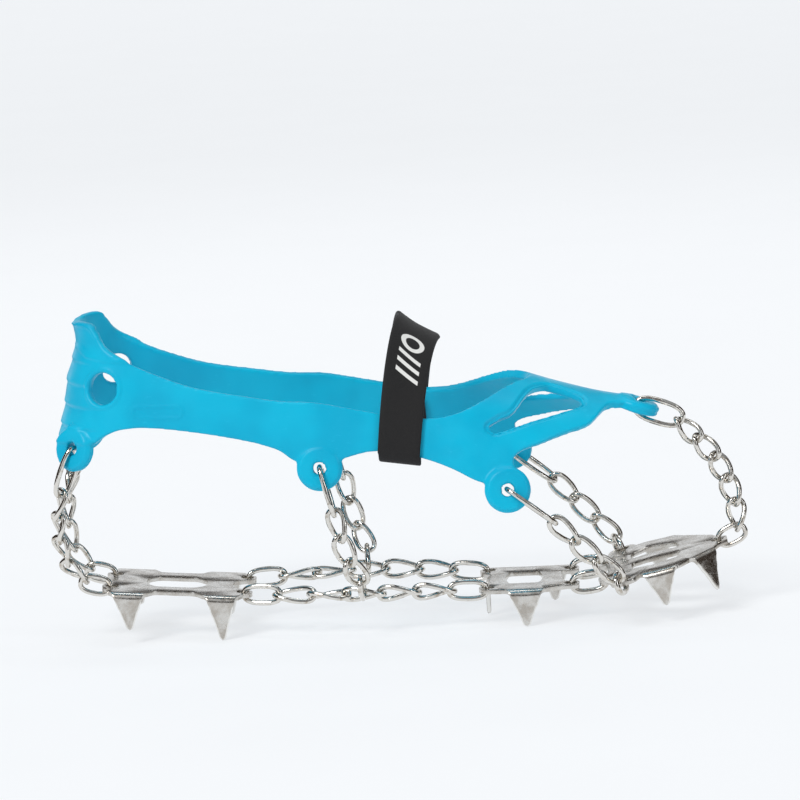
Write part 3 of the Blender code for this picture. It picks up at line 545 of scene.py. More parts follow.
def strap_point(stage, across, offset):
    """Point of the strap's right half: stage 0 crest, 1 fold begins, 2 fold ends, 3 tail; across -1 to 1."""
    run = min(stage, 1.0)
    x = STRAP_CREST_X + (STRAP_FOLD[0] - STRAP_CREST_X) * run + across * STRAP_WIDTH / 2
    fold_z = STRAP_FOLD[1] + STRAP_FOLD_SLOPE * across * STRAP_WIDTH / 2
    low = crown_angle(x, fold_z)
    if stage <= 1:
        angle = low * stage
        return surface(x, angle) + surface_normal(x, angle) * (STRAP_CLEAR + offset)
    outward = surface_normal(x, low)
    outward = Vector((0.0, outward.y, 0.0)).normalized()
    turn = math.pi * min(stage - 1, 1.0)
    round_fold = outward * math.cos(turn) + Vector((0, 0, -math.sin(turn)))
    point = surface(x, low) + round_fold * (STRAP_CLEAR + offset)
    if stage > 2:
        angle = low + (crown_angle(x, STRAP_TAIL_HEIGHT) - low) * (stage - 2)
        point = surface(x, angle) - surface_normal(x, angle) * (STRAP_CLEAR + offset)
    return point


# ---------------------------------------------------------------- scene helpers


def finish_mesh(name, bm, smooth_angle=None):
    """New object from a bmesh in metres, with its faces turned out."""
    bmesh.ops.recalc_face_normals(bm, faces=bm.faces[:])
    mesh = bpy.data.meshes.new(name)
    bm.to_mesh(mesh)
    bm.free()
    if smooth_angle:
        mesh.shade_smooth()
        mesh.set_sharp_from_angle(angle=math.radians(smooth_angle))
    made = bpy.data.objects.new(name, mesh)
    bpy.context.scene.collection.objects.link(made)
    return made


def applied(obj):
    """Replace an object's mesh by its evaluated one, and drop its modifiers."""
    depsgraph = bpy.context.evaluated_depsgraph_get()
    mesh = bpy.data.meshes.new_from_object(obj.evaluated_get(depsgraph))
    obj.modifiers.clear()
    obj.data = mesh
    return obj


def dress(obj, look, body, node):
    """Give a piece its material and its body, and hide the CAD node it stands for."""
    obj.data.materials.clear()
    obj.data.materials.append(look)
    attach(obj, body)
    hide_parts(node)


def fill_outline(bm, outline, holes):
    """Flat triangulated sheet in the XY plane from an outline and holes, facing +Z."""
    edges = []
    for loop in [outline] + holes:
        verts = [bm.verts.new((x, y, 0.0)) for x, y in loop]
        edges += [bm.edges.new((verts[k], verts[(k + 1) % len(verts)])) for k in range(len(verts))]
    bmesh.ops.triangle_fill(bm, use_beauty=True, use_dissolve=False, edges=edges, normal=(0, 0, 1))


def join_rings(bm, here, there):
    """Band of four-sided faces between two closed rings of points."""
    for s in range(len(here)):
        n = (s + 1) % len(here)
        bm.faces.new((here[s], here[n], there[n], there[s]))


def circle_points(centre, axis, guess, radius, height, steps):
    """Points of a circle about an axis; guess is a direction near which the first one lies."""
    first = flat_to(guess, axis)
    second = axis.cross(first)
    points = []
    for k in range(steps):
        turn = 2 * math.pi * k / steps
        out = first * math.cos(turn) + second * math.sin(turn)
        points.append(world(Vector(centre) + out * radius + axis * height))
    return points


def place_object(name, data, where, aim):
    """New object at where that faces aim."""
    made = bpy.data.objects.new(name, data)
    bpy.context.scene.collection.objects.link(made)
    made.location = where
    made.rotation_euler = (Vector(aim) - Vector(where)).to_track_quat("-Z", "Y").to_euler()
    return made


def slice_sheet(bm, axis, values):
    for value in values:
        point = (value, 0, 0) if axis == 0 else (0, value, 0)
        normal = (1, 0, 0) if axis == 0 else (0, 1, 0)
        geometry = bm.verts[:] + bm.edges[:] + bm.faces[:]
        bmesh.ops.bisect_plane(bm, geom=geometry, plane_co=point, plane_no=normal, dist=1e-4)


def eased(value, low, high):
    """Smooth step from 0 at low to 1 at high, for an array."""
    t = np.clip((value - low) / (high - low), 0.0, 1.0)
    return t * t * (3 - 2 * t)


# ---------------------------------------------------------------- harness

FINE_U = 3.0                    # mesh spacing along the sheet before it is remeshed
FINE_ANGLE = 3.0
CURVE_STEPS = 6                 # points per span of a smoothed outline
VOXEL = 0.76                    # grid of the remeshed harness
SMOOTHING_ROUNDS = 4
RIB_LEVELS = [138.5, 130.2, 120.1, 110.3, 100.6, 94.1]     # heights of the steps on the back of the heel
RIB_DEPTH = 0.9                 # of each step at its lower edge
RIB_FRONT = (-137.0, -128.0)    # X where the steps fade out
COLLAR_EDGE = [(-146.0, 138.6), (-141.3, 137.0), (-134.2, 133.3), (-125.0, 131.8), (-110.0, 131.0)]
COLLAR_RAISE = 0.9
COLLAR_GROOVE = (4.2, 0.45)     # height above that edge and depth of the groove in the collar
PLUG_LENGTH = 24.0              # of the cutter for the heel hole
EYE_PLUG_SPARE = 0.6            # the sheet's eyelet hole is this much wider than the boss's
HOLE_RING = (8.7, 1.3, 0.55)    # radius, half width and height of the raised ring round the heel hole
WINDOW_SAMPLES = 12             # points per span of a window's rim
WINDOW_STEP = (2.4, 0.9)        # width and depth of the lowered border of the windows
# moulded outline of a bar: centre X, centre height, half length, half height
BADGE = (-102.5, 109.0, 11.5, 2.6)
BADGE_LINE = (0.75, 0.35)       # half width and height of its ridge
# cross-section of an eyelet boss: radius, height from its middle plane
BOSS_PROFILE = [(3.0, 1.3), (3.15, 2.0), (3.7, 2.4), (8.9, 2.5), (9.3, 2.4), (9.6, 2.0),
                (10.2, 1.8), (10.5, 1.3),
                (10.5, 0.35), (10.15, 0.0), (10.5, -0.35), (10.5, -1.0), (10.1, -1.8), (9.3, -2.4),
                (7.4, -2.6), (3.9, -2.6), (3.2, -2.1), (3.0, -1.3)]
BOSS_STEPS = 64
BOSS_FACE = (9.2, 0.45)         # radius and height of the raised face
BOSS_LINE = (-0.6, 0.45)        # place through the boss and depth of its parting line


def open_curve(points):
    return [tuple(p) for p in curve_through(points, CURVE_STEPS)]


def closed_curve(points):
    whole = open_curve(points[-2:] + points + points[:2])
    return whole[2 * CURVE_STEPS:-(CURVE_STEPS + 1)]


def add_sheet(bm):
    """The right half of the moulded sheet, as a flat pattern laid on the boot form."""
    split = 1 + max(k for k, p in enumerate(OUTLINE[:-1]) if p[1] == 0.0 and OUTLINE[k + 1][1] == 0.0)
    fill_outline(bm, open_curve(OUTLINE[:split]) + open_curve(OUTLINE[split:]), [closed_curve(WINDOW)])
    slice_sheet(bm, 0, np.arange(HEEL_X - HEEL_ARC + FINE_U, 120.0, FINE_U))
    slice_sheet(bm, 1, np.arange(FINE_ANGLE, 100.0, FINE_ANGLE))
    bmesh.ops.remove_doubles(bm, verts=bm.verts[:], dist=0.05)
    outer = bmesh.ops.extrude_face_region(bm, geom=bm.faces[:])
    for item in outer["geom"]:
        if isinstance(item, bmesh.types.BMVert):
            item.co.z = 1.0
    middle = [face for face in bm.faces if all(on_middle_line(v.co) for v in face.verts)]
    bmesh.ops.delete(bm, geom=middle, context="FACES_ONLY")
    for vert in bm.verts:
        u, angle, skin = vert.co
        centred = on_middle_line(vert.co)
        vert.co = world(surface(u, angle) + surface_normal(u, angle) * SHEET * (skin - 0.5))
        if centred:
            vert.co.y = 0.0


def add_turned(bm, profile, centre, axis, steps):
    """Closed ring turned about an axis through centre."""
    axis = Vector(axis).normalized()
    guess = Vector((1.0, 0.0, 0.0)) if abs(axis.x) < 0.8 else Vector((0.0, 0.0, 1.0))
    first = flat_to(guess, axis)
    second = axis.cross(first)
    rings = []
    for k in range(steps):
        turn = 2 * math.pi * k / steps
        out = first * math.cos(turn) + second * math.sin(turn)
        rings.append([bm.verts.new(world(Vector(centre) + out * r + axis * h)) for r, h in profile])
    for k in range(steps):
        join_rings(bm, rings[k], rings[(k + 1) % steps])


def add_plug(bm, centre, axis, radius, length, steps=48):
    """Solid cylinder about an axis through centre, for a hole."""
    axis = Vector(axis).normalized()
    ends = []
    for end in (-0.5, 0.5):
        points = circle_points(centre, axis, (0.3, 0.1, 1.0), radius, length * end, steps)
        ends.append([bm.verts.new(p) for p in points])
    bm.faces.new(list(reversed(ends[0])))
    bm.faces.new(ends[1])
    join_rings(bm, *ends)


def both_eyelets():
    """Centre and disc normal of all the eyelets."""
    found = []
    for _, centre, normal, _ in eyelets():
        found.append((centre, normal))
        if abs(centre.y) > 1:
            found.append((mirrored(centre), mirrored(normal)))
    return found


def moulded_details(points, normals):
    """How far each point of the harness stands out along its normal. All in millimetres."""
    x = points[:, 0]
    y = np.abs(points[:, 1])
    z = points[:, 2]
    level = np.interp(x, [s[0] for s in FORM], [s[2] for s in FORM])
    core = np.stack([np.maximum(x, HEEL_X), np.zeros_like(x), level - 20], axis=1)
    outward = points - core
    outward /= np.linalg.norm(outward, axis=1)[:, None]
    outer = eased((outward * normals).sum(axis=1), 0.35, 0.75)
    raised = np.zeros_like(x)

    # shingle steps down the back of the heel
    levels = RIB_LEVELS[::-1]
    index = np.clip(np.searchsorted(levels, z), 1, len(levels) - 1)
    low = np.array(levels)[index - 1]
    high = np.array(levels)[index]
    share = np.clip((z - low) / (high - low), 0.0, 1.0)
    shape = (1 - share) * eased(z - low, -0.1, 1.2)
    shape *= (z > levels[0]) & (z < levels[-1])
    raised += RIB_DEPTH * shape * (1 - eased(x, *RIB_FRONT)) * outer

    # collar of the pull tab
    edge = np.interp(x, [p[0] for p in COLLAR_EDGE], [p[1] for p in COLLAR_EDGE])
    raised += COLLAR_RAISE * eased(z - edge, -0.7, 0.7) * eased(z, 126.0, 129.0) * outer
    groove = 1 - eased(np.abs(z - edge - COLLAR_GROOVE[0]), 0.0, 1.0)
    raised -= COLLAR_GROOVE[1] * groove * eased(z, 128.0, 131.0) * (1 - eased(x, -135.0, -128.0)) * outer

    # raised face and parting line of each boss
    for centre, normal in both_eyelets():
        offset = points - np.array(centre)
        along = offset @ np.array(normal)
        radial = np.linalg.norm(offset - along[:, None] * np.array(normal), axis=1)
        face = (along > 1.6) & (radial < 12) & (normals @ np.array(normal) > 0.3)
        raised += BOSS_FACE[1] * (1 - eased(radial, BOSS_FACE[0] - 0.35, BOSS_FACE[0] + 0.35)) * face
        rim = (radial > BOSS_RADIUS - 2.2) & (radial < BOSS_RADIUS + 1.2)
        raised -= BOSS_LINE[1] * (1 - eased(np.abs(along - BOSS_LINE[0]), 0.1, 0.75)) * rim

    # ring round the heel hole
    centre = np.array(surface(*HEEL_HOLE))
    axis = np.array(surface_normal(*HEEL_HOLE))
    offset = np.stack([x, -y, z], axis=1) - centre
    along = offset @ axis
    radial = np.linalg.norm(offset - along[:, None] * axis, axis=1)
    radius, half_width, height = HOLE_RING
    near = np.linalg.norm(offset, axis=1) < 25
    raised += height * (1 - eased(np.abs(radial - radius), 0.2, half_width)) * outer * near

    # lowered border of the windows
    rim = closed_curve(WINDOW)
    tree = KDTree(len(rim) * WINDOW_SAMPLES)
    for k, (u, angle) in enumerate(rim):
        following = rim[(k + 1) % len(rim)]
        for part in range(WINDOW_SAMPLES):
            share = part / WINDOW_SAMPLES
            place = (u + (following[0] - u) * share, angle + (following[1] - angle) * share)
            outside = surface(*place) + surface_normal(*place) * SHEET / 2
            tree.insert(outside, k * WINDOW_SAMPLES + part)
    tree.balance()
    width, depth = WINDOW_STEP
    front = np.nonzero((x > 38) & (x < 98) & (outer > 0))[0]
    distance = np.full(len(x), 99.0)
    for k in front:
        distance[k] = tree.find((x[k], -y[k], z[k]))[2]
    raised -= depth * (1 - eased(distance, width - 1.2, width)) * outer

    # moulded bar outline on the arm
    bar_x, bar_z, half_length, half_height = BADGE
    corner = half_height * 0.98
    across = np.maximum(np.abs(x - bar_x) - half_length + corner, 0.0)
    up = np.maximum(np.abs(z - bar_z + (x - bar_x) * 0.02) - half_height + corner, 0.0)
    line = np.abs(np.hypot(across, up) - corner)
    line[(np.abs(x - bar_x) > half_length + 3) | (np.abs(z - bar_z) > half_height + 3)] = 9.0
    half_line, ridge = BADGE_LINE
    raised += ridge * (1 - eased(line, 0.15, half_line)) * outer
    return raised


def read_array(collection, attribute):
    """Three numbers of each item of a mesh's collection, as an array."""
    values = np.empty(len(collection) * 3, np.float32)
    collection.foreach_get(attribute, values)
    return values.reshape(-1, 3).astype(float)


def build_harness(look):
    bm = bmesh.new()
    add_sheet(bm)
    sheet = finish_mesh("harness_moulding", bm)
    mirror = sheet.modifiers.new("Mirror", "MIRROR")
    mirror.use_axis = (False, True, False)
    mirror.merge_threshold = 0.00005
    mirror.use_clip = True
    applied(sheet)

    plugs = bmesh.new()
    for centre, normal in both_eyelets():
        add_plug(plugs, centre, normal, EYE_RADIUS + EYE_PLUG_SPARE, BOSS_THICK * 3)
    hole_centre = surface(*HEEL_HOLE)
    hole_axis = surface_normal(*HEEL_HOLE)
    add_plug(plugs, hole_centre, hole_axis, HEEL_HOLE_RADIUS, PLUG_LENGTH)
    add_plug(plugs, mirrored(hole_centre), mirrored(hole_axis), HEEL_HOLE_RADIUS, PLUG_LENGTH)
    plug = finish_mesh("plugs", plugs)
    cut = sheet.modifiers.new("Holes", "BOOLEAN")
    cut.operation = "DIFFERENCE"
    cut.object = plug
    applied(sheet)
    bpy.data.objects.remove(plug)

    whole = bmesh.new()
    whole.from_mesh(sheet.data)
    bosses = bmesh.new()
    for centre, normal in both_eyelets():
        outward = normal if normal.dot(centre - Vector((centre.x, 0, 60))) > 0 else -normal
        add_turned(bosses, BOSS_PROFILE, centre, outward, BOSS_STEPS)
    bmesh.ops.recalc_face_normals(bosses, faces=bosses.faces[:])
    boss_mesh = bpy.data.meshes.new("bosses")
    bosses.to_mesh(boss_mesh)
    bosses.free()
    whole.from_mesh(boss_mesh)
    whole.to_mesh(sheet.data)
    whole.free()

    remesh = sheet.modifiers.new("Remesh", "REMESH")
    remesh.mode = "VOXEL"
    remesh.voxel_size = VOXEL * MM
    remesh.use_smooth_shade = True
    smooth = sheet.modifiers.new("Smooth", "SMOOTH")
    smooth.factor = 0.5
    smooth.iterations = SMOOTHING_ROUNDS
    applied(sheet)

    mesh = sheet.data
    points = read_array(mesh.vertices, "co")
    normals = read_array(mesh.vertex_normals, "vector")
    in_part = points / MM - np.array([X_SHIFT, 0, 0])
    raised = moulded_details(in_part, normals)
    points += normals * raised[:, None] * MM
    mesh.vertices.foreach_set("co", points.astype(np.float32).ravel())
    mesh.update()
    mesh.shade_smooth()
    dress(sheet, look, "frame_set", "harness")


# ---------------------------------------------------------------- chain

WELD_AT = 0.25                  # turns round the loop from its end, where each link's ends are welded
WELD_WIDTH = 0.022              # turns
WELD_BULGE = 0.07               # share of the wire's radius


def link_mesh(name, span, width, wire, twist):
    """Closed wire loop along its own X axis; span is the distance between its two end wires' centres."""
    half = span / 2
    reach = (width - wire) / 2
    bm = bmesh.new()
    centres = []
    for k in range(LINK_STEPS):
        t = 2 * math.pi * (k + 0.5) / LINK_STEPS
        x = half * math.copysign(abs(math.cos(t)) ** (2 / ROUNDNESS), math.cos(t))
        r = reach * math.copysign(abs(math.sin(t)) ** (2 / ROUNDNESS), math.sin(t))
        angle = math.radians(twist) / 2 * x / half
        centres.append(Vector((x, r * math.cos(angle), r * math.sin(angle))))
    scale = half / max(c.x for c in centres)
    centres = [Vector((c.x * scale, c.y, c.z)) for c in centres]
    rings = []
    for k, centre in enumerate(centres):
        along = (centres[(k + 1) % LINK_STEPS] - centres[k - 1]).normalized()
        outward = centre - along * centre.dot(along)
        outward.normalize()
        third = along.cross(outward)
        from_weld = (k + 0.5) / LINK_STEPS - WELD_AT
        swell = 1 + WELD_BULGE * math.exp(-(from_weld / WELD_WIDTH) ** 2)
        ring = []
        for s in range(WIRE_SIDES):
            turn = 2 * math.pi * s / WIRE_SIDES
            p = centre + (outward * math.cos(turn) + third * math.sin(turn)) * wire / 2 * swell
            ring.append(bm.verts.new(p * MM))
        rings.append(ring)
    for k in range(LINK_STEPS):
        join_rings(bm, rings[k], rings[(k + 1) % LINK_STEPS])
    return finish_mesh(name, bm, smooth_angle=60)


def link_between(name, start, end, plane, twist, width, wire):
    """Link whose end wires pass through start and end. plane is a direction in the link's middle plane."""
    start = Vector(start)
    end = Vector(end)
    x_axis = (end - start).normalized()
    normal = x_axis.cross(Vector(plane)).normalized()
    obj = link_mesh("wire_" + name, (end - start).length, width, wire, twist)
    y_axis = normal.cross(x_axis).normalized()
    z_axis = x_axis.cross(y_axis)
    rotation = Matrix((x_axis, y_axis, z_axis)).transposed().to_4x4()
    obj.data.transform(Matrix.Translation(world((start + end) / 2)) @ rotation)
    dress(obj, LOOK_CHAIN, frame["nodes"][name]["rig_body"], name)


def build_pieces(label, pieces, flip):
    """Make the pieces of a chain; the left side is the right side's mirror image, twist included."""
    for name, start, end, plane, twist, width, wire in pieces:
        if flip:
            start, end, plane, twist = mirrored(start), mirrored(end), mirrored(plane), -twist
        link_between(f"{label}_{name}", start, end, plane, twist, width, wire)


# ---------------------------------------------------------------- plates

BEND_RADIUS = 2.0               # middle-surface radius of a folded spike
BEND_STEPS = 6
HOLE_SIDES = 48
EDGE_ROUND = 0.28
CORNER_RADIUS = 2.2
GROUND_EDGE = 1.1               # width of the thinned edge of a spike
# share of a spike's length, share of its base width left there
SPIKE_TAPER = [(0.0, 1.0), (0.06, 0.88), (0.16, 0.78), (0.42, 0.62), (0.5, 0.52), (0.7, 0.37), (0.88, 0.24),
               (0.94, 0.205), (0.97, 0.165), (0.99, 0.105), (1.0, 0.05)]
SPIKE_ROWS = 22                 # rows of faces down the straight of a spike
EDGE_ANGLE = 38.0               # degrees above which a plate's edge is rounded and kept crisp


def soft_corners(points, radius, keep=(), steps=6):
    """Closed outline with its corners rounded, except those listed in keep."""
    result = []
    for k, p in enumerate(points):
        if k in keep:
            result.append(p)
            continue
        p = Vector(p)
        before = Vector(points[k - 1])
        after = Vector(points[(k + 1) % len(points)])
        cut = min(radius, 0.42 * (before - p).length, 0.42 * (after - p).length)
        start = p + (before - p).normalized() * cut
        end = p + (after - p).normalized() * cut
        for s in range(steps + 1):
            t = s / steps
            result.append(tuple(start * (1 - t) ** 2 + p * 2 * t * (1 - t) + end * t ** 2))
    return result


def in_sheet(profile, x, y):
    """Point of a plate's middle surface at plan point x, y."""
    return Vector((x, y, height_at(profile, x) - PLATE / 2))


def spike_columns(base):
    """Places of a spike's five columns along its base."""
    return [0.0, GROUND_EDGE, base / 2, base - GROUND_EDGE, base]


def add_folded_spike(bm, thick, profile, start, end, outward, tip):
    """Spike folded down from a plate's edge between two plan points."""
    a = in_sheet(profile, *start)
    b = in_sheet(profile, *end)
    along = (b - a).normalized()
    base = (b - a).length
    out = flat_to(in_sheet(profile, start[0] + outward[0], start[1] + outward[1]) - a, along)
    down = along.cross(out)
    if down.z > 0:
        down = -down
    middle = (a + b) / 2
    to_tip = Vector(tip) - middle
    reach, drop = to_tip.dot(out), to_tip.dot(down)
    below_bend = drop - BEND_RADIUS
    fold = math.atan2(below_bend, reach) + math.asin(BEND_RADIUS / math.hypot(below_bend, reach))
    straight = math.hypot(reach - BEND_RADIUS * math.sin(fold), drop - BEND_RADIUS * (1 - math.cos(fold)))
    arc = BEND_RADIUS * fold
    length = arc + straight
    lean = to_tip.dot(along)
    shares = [arc * k / BEND_STEPS / length for k in range(BEND_STEPS)]
    shares += [arc / length + (1 - arc / length) * k / SPIKE_ROWS for k in range(SPIKE_ROWS + 1)]
    rows = []
    for share in shares:
        s = share * length
        if s <= arc:
            turn = s / BEND_RADIUS
            centre = middle + (out * math.sin(turn) + down * (1 - math.cos(turn))) * BEND_RADIUS
        else:
            run = s - arc
            centre = middle + (out * math.sin(fold) + down * (1 - math.cos(fold))) * BEND_RADIUS
            centre += (out * math.cos(fold) + down * math.sin(fold)) * run
        centre = centre + along * lean * share
        width = base * float(np.interp(share, [p[0] for p in SPIKE_TAPER], [p[1] for p in SPIKE_TAPER]))
        rim = GROUND_EDGE if share == 0 else min(GROUND_EDGE, width * 0.38)
        places = [-width / 2, -width / 2 + rim, 0.0, width / 2 - rim, width / 2]
        thin = eased(np.array(share), 0.08, 0.4)
        row = []
        for k, at in enumerate(places):
            vert = bm.verts.new(world(centre + along * at))
            thinned = 0.75 * float(thin) * (k in (0, 4)) + 0.3 * float(eased(np.array(share), 0.9, 1.0))
            vert[thick] = 1.0 - thinned
            row.append(vert)
        rows.append(row)
    for here, there in zip(rows, rows[1:]):
        for k in range(4):
            bm.faces.new((here[k], here[k + 1], there[k + 1], there[k]))


def build_plate(name, plate, look):
    """Pressed steel sheet with lug holes, and spikes folded down from its edges."""
    profile = plate["profile"]
    points = [Vector(p) for p in plate["outline"]]
    count = len(points)
    middle = sum(points, Vector((0, 0))) / count
    spikes = []
    extra = {}
    moved = list(points)
    sharp = set()
    for start, end, tip in plate["spikes"]:
        start, end = Vector(start), Vector(end)
        centre = (start + end) / 2

        def gap(k):
            p, q = points[k], points[(k + 1) % count]
            t = max(0.0, min(1.0, (centre - p).dot(q - p) / (q - p).length_squared))
            return (p.lerp(q, t) - centre).length
        k = min(range(count), key=gap)
        p, q = points[k], points[(k + 1) % count]
        if (start - p).length > (end - p).length:
            start, end = end, start
        edge = (q - p).normalized()
        outward = Vector((edge.y, -edge.x))
        if outward.dot(centre - middle) < 0:
            outward = -outward
        inset = outward * BEND_RADIUS
        moved[k] = moved[k] - inset
        moved[(k + 1) % count] = moved[(k + 1) % count] - inset
        sharp.update((k, (k + 1) % count))
        start, end = start - inset, end - inset
        base = (end - start).length
        extra[k] = [tuple(start + (end - start).normalized() * at) for at in spike_columns(base)]
        spikes.append((tuple(start), tuple(end), tuple(outward), tip))
    outline = []
    keep = set()
    for k, p in enumerate(moved):
        if k in sharp:
            keep.add(len(outline))
        outline.append(tuple(p))
        for at in extra.get(k, []):
            keep.add(len(outline))
            outline.append(at)
    outline = soft_corners(outline, CORNER_RADIUS, keep)
    bm = bmesh.new()
    thick = bm.verts.layers.float.new("thick")
    fill_outline(bm, outline, [soft_corners(c, CORNER_RADIUS) for c in plate["cutouts"]]
                 + [circle(x, y, HOLE_RADIUS, HOLE_SIDES) for x, y in plate["holes"]])
    slice_sheet(bm, 0, [x for x, _ in profile[1:-1]])
    for vert in bm.verts:
        vert[thick] = 1.0
        vert.co = world(in_sheet(profile, vert.co.x, vert.co.y))
    for spike in spikes:
        add_folded_spike(bm, thick, profile, *spike)
    bmesh.ops.remove_doubles(bm, verts=bm.verts[:], dist=0.02 * MM)
    bmesh.ops.recalc_face_normals(bm, faces=bm.faces[:])
    top = max(bm.faces, key=lambda f: f.calc_area())
    if top.normal.z < 0:
        bmesh.ops.reverse_faces(bm, faces=bm.faces[:])
    bm.normal_update()
    # two skins, half the steel's thickness to each side of the middle surface
    ground = bm.verts.layers.float.new("ground_edge")
    half = {v: v.normal * PLATE / 2 * v[thick] * MM for v in bm.verts}
    # mask of the thinned spike edges and tips, where the steel gets a lighter colour: bare ground steel and
    # partly a painted highlight of the bevels
    for vert in half:
        vert[ground] = min(1.0, 1.6 * (1.0 - vert[thick]))
    upper = {v: bm.verts.new(v.co + half[v], v) for v in list(half)}
    lower = {v: bm.verts.new(v.co - half[v], v) for v in list(half)}
    faces = bm.faces[:]
    border = [e for e in bm.edges if len(e.link_faces) == 1]
    for face in faces:
        bm.faces.new([upper[v] for v in face.verts])
        bm.faces.new([lower[v] for v in reversed(face.verts)])
    for edge in border:
        a, b = edge.verts
        bm.faces.new((upper[a], lower[a], lower[b], upper[b]))
    bmesh.ops.delete(bm, geom=list(half), context="VERTS")
    obj = finish_mesh("steel_" + name, bm)
    bevel = obj.modifiers.new("Bevel", "BEVEL")
    bevel.width = EDGE_ROUND * MM
    bevel.segments = 2
    bevel.limit_method = "ANGLE"
    bevel.angle_limit = math.radians(EDGE_ANGLE)
    applied(obj)
    obj.data.shade_smooth()
    obj.data.set_sharp_from_angle(angle=math.radians(EDGE_ANGLE))
    dress(obj, look, "frame_set", name)


# ---------------------------------------------------------------- strap

STRAP_STAGES = (49, 17, 9)      # cross-sections over the run, round the fold and along the tail
STRAP_FLAT_POINTS = 8           # points across the flat of a cross-section
STRAP_EDGE_POINTS = 6           # points round each of its edges


def strap_section():
    """Round-edged cross-section: share across, share of half the thickness."""
    edge = STRAP_THICK / STRAP_WIDTH
    flat = [-1 + edge + (2 - 2 * edge) * k / STRAP_FLAT_POINTS for k in range(STRAP_FLAT_POINTS + 1)]
    turns = [math.pi * (0.5 - k / STRAP_EDGE_POINTS) for k in range(1, STRAP_EDGE_POINTS)]
    right = [(1 - edge + edge * math.cos(t), math.sin(t)) for t in turns]
    left = [(-x, -h) for x, h in right]
    return [(x, 1.0) for x in flat] + right + [(x, -1.0) for x in reversed(flat)] + left


def build_strap(look):
    """Band over the instep whose ends fold round the lower edge of both harness arms."""
    section = strap_section()
    stages = [0.0]
    for stage, points in enumerate(STRAP_STAGES):
        stages += list(np.linspace(stage, stage + 1, points))[1:]
    half = [[strap_point(stage, w, t * STRAP_THICK / 2) for w, t in section] for stage in stages]
    lengths = [0.0]
    for here, there in zip(half, half[1:]):
        lengths.append(lengths[-1] + (sum(there, Vector()) - sum(here, Vector())).length / len(section))
    bm = bmesh.new()
    along = bm.verts.layers.float.new("strap_along")
    across = bm.verts.layers.float.new("strap_across")
    rings = []
    for side_sign in (-1, 1):
        order = range(len(stages) - 1, 0, -1) if side_sign < 0 else range(len(stages))
        for k in order:
            ring = []
            for p, (w, _) in zip(half[k], section):
                vert = bm.verts.new(world(mirrored(p) if side_sign < 0 else p))
                vert[along] = lengths[k] * side_sign
                vert[across] = w * STRAP_WIDTH / 2
                ring.append(vert)
            rings.append(ring)
    for here, there in zip(rings, rings[1:]):
        join_rings(bm, here, there)
    bm.faces.new(list(reversed(rings[0])))
    bm.faces.new(rings[-1])
    obj = finish_mesh("webbing_strap", bm, smooth_angle=60)
    dress(obj, look, "instep_strap", "instep_strap")


# ---------------------------------------------------------------- materials

# base colours, linear
RUBBER_DEEP = (0.0, 0.385, 0.600, 1)
RUBBER_LIGHT = (0.0, 0.445, 0.665, 1)
RUBBER_SCUFF = (0.035, 0.58, 0.80, 1)
RUBBER_DUST = (0.10, 0.44, 0.56, 1)
CHAIN_CLEAN = (0.74, 0.715, 0.67, 1)
CHAIN_STAIN = (0.44, 0.385, 0.32, 1)
CHAIN_GRIME = (0.15, 0.12, 0.09, 1)
PLATE_LIGHT = (0.66, 0.64, 0.605, 1)
PLATE_CLOUD = (0.47, 0.435, 0.39, 1)
# bare steel of the ground spike edges, made lighter still as a painted highlight of their bevels
PLATE_GROUND_AND_HIGHLIGHT = (0.84, 0.83, 0.80, 1)
PLATE_GRIT = (0.24, 0.225, 0.205, 1)
CLOTH_DARK = (0.008, 0.008, 0.009, 1)
CLOTH_FUZZ = (0.019, 0.0185, 0.0185, 1)
MARK_WHITE = (0.72, 0.72, 0.70, 1)
PAPER_DARK = (0.285, 0.292, 0.300, 1)
PAPER_LIGHT = (0.300, 0.307, 0.315, 1)
PAPER_LIT = (0.955, 0.975, 1.0, 1)
CARD_BLACK = (0.040, 0.028, 0.020, 1)


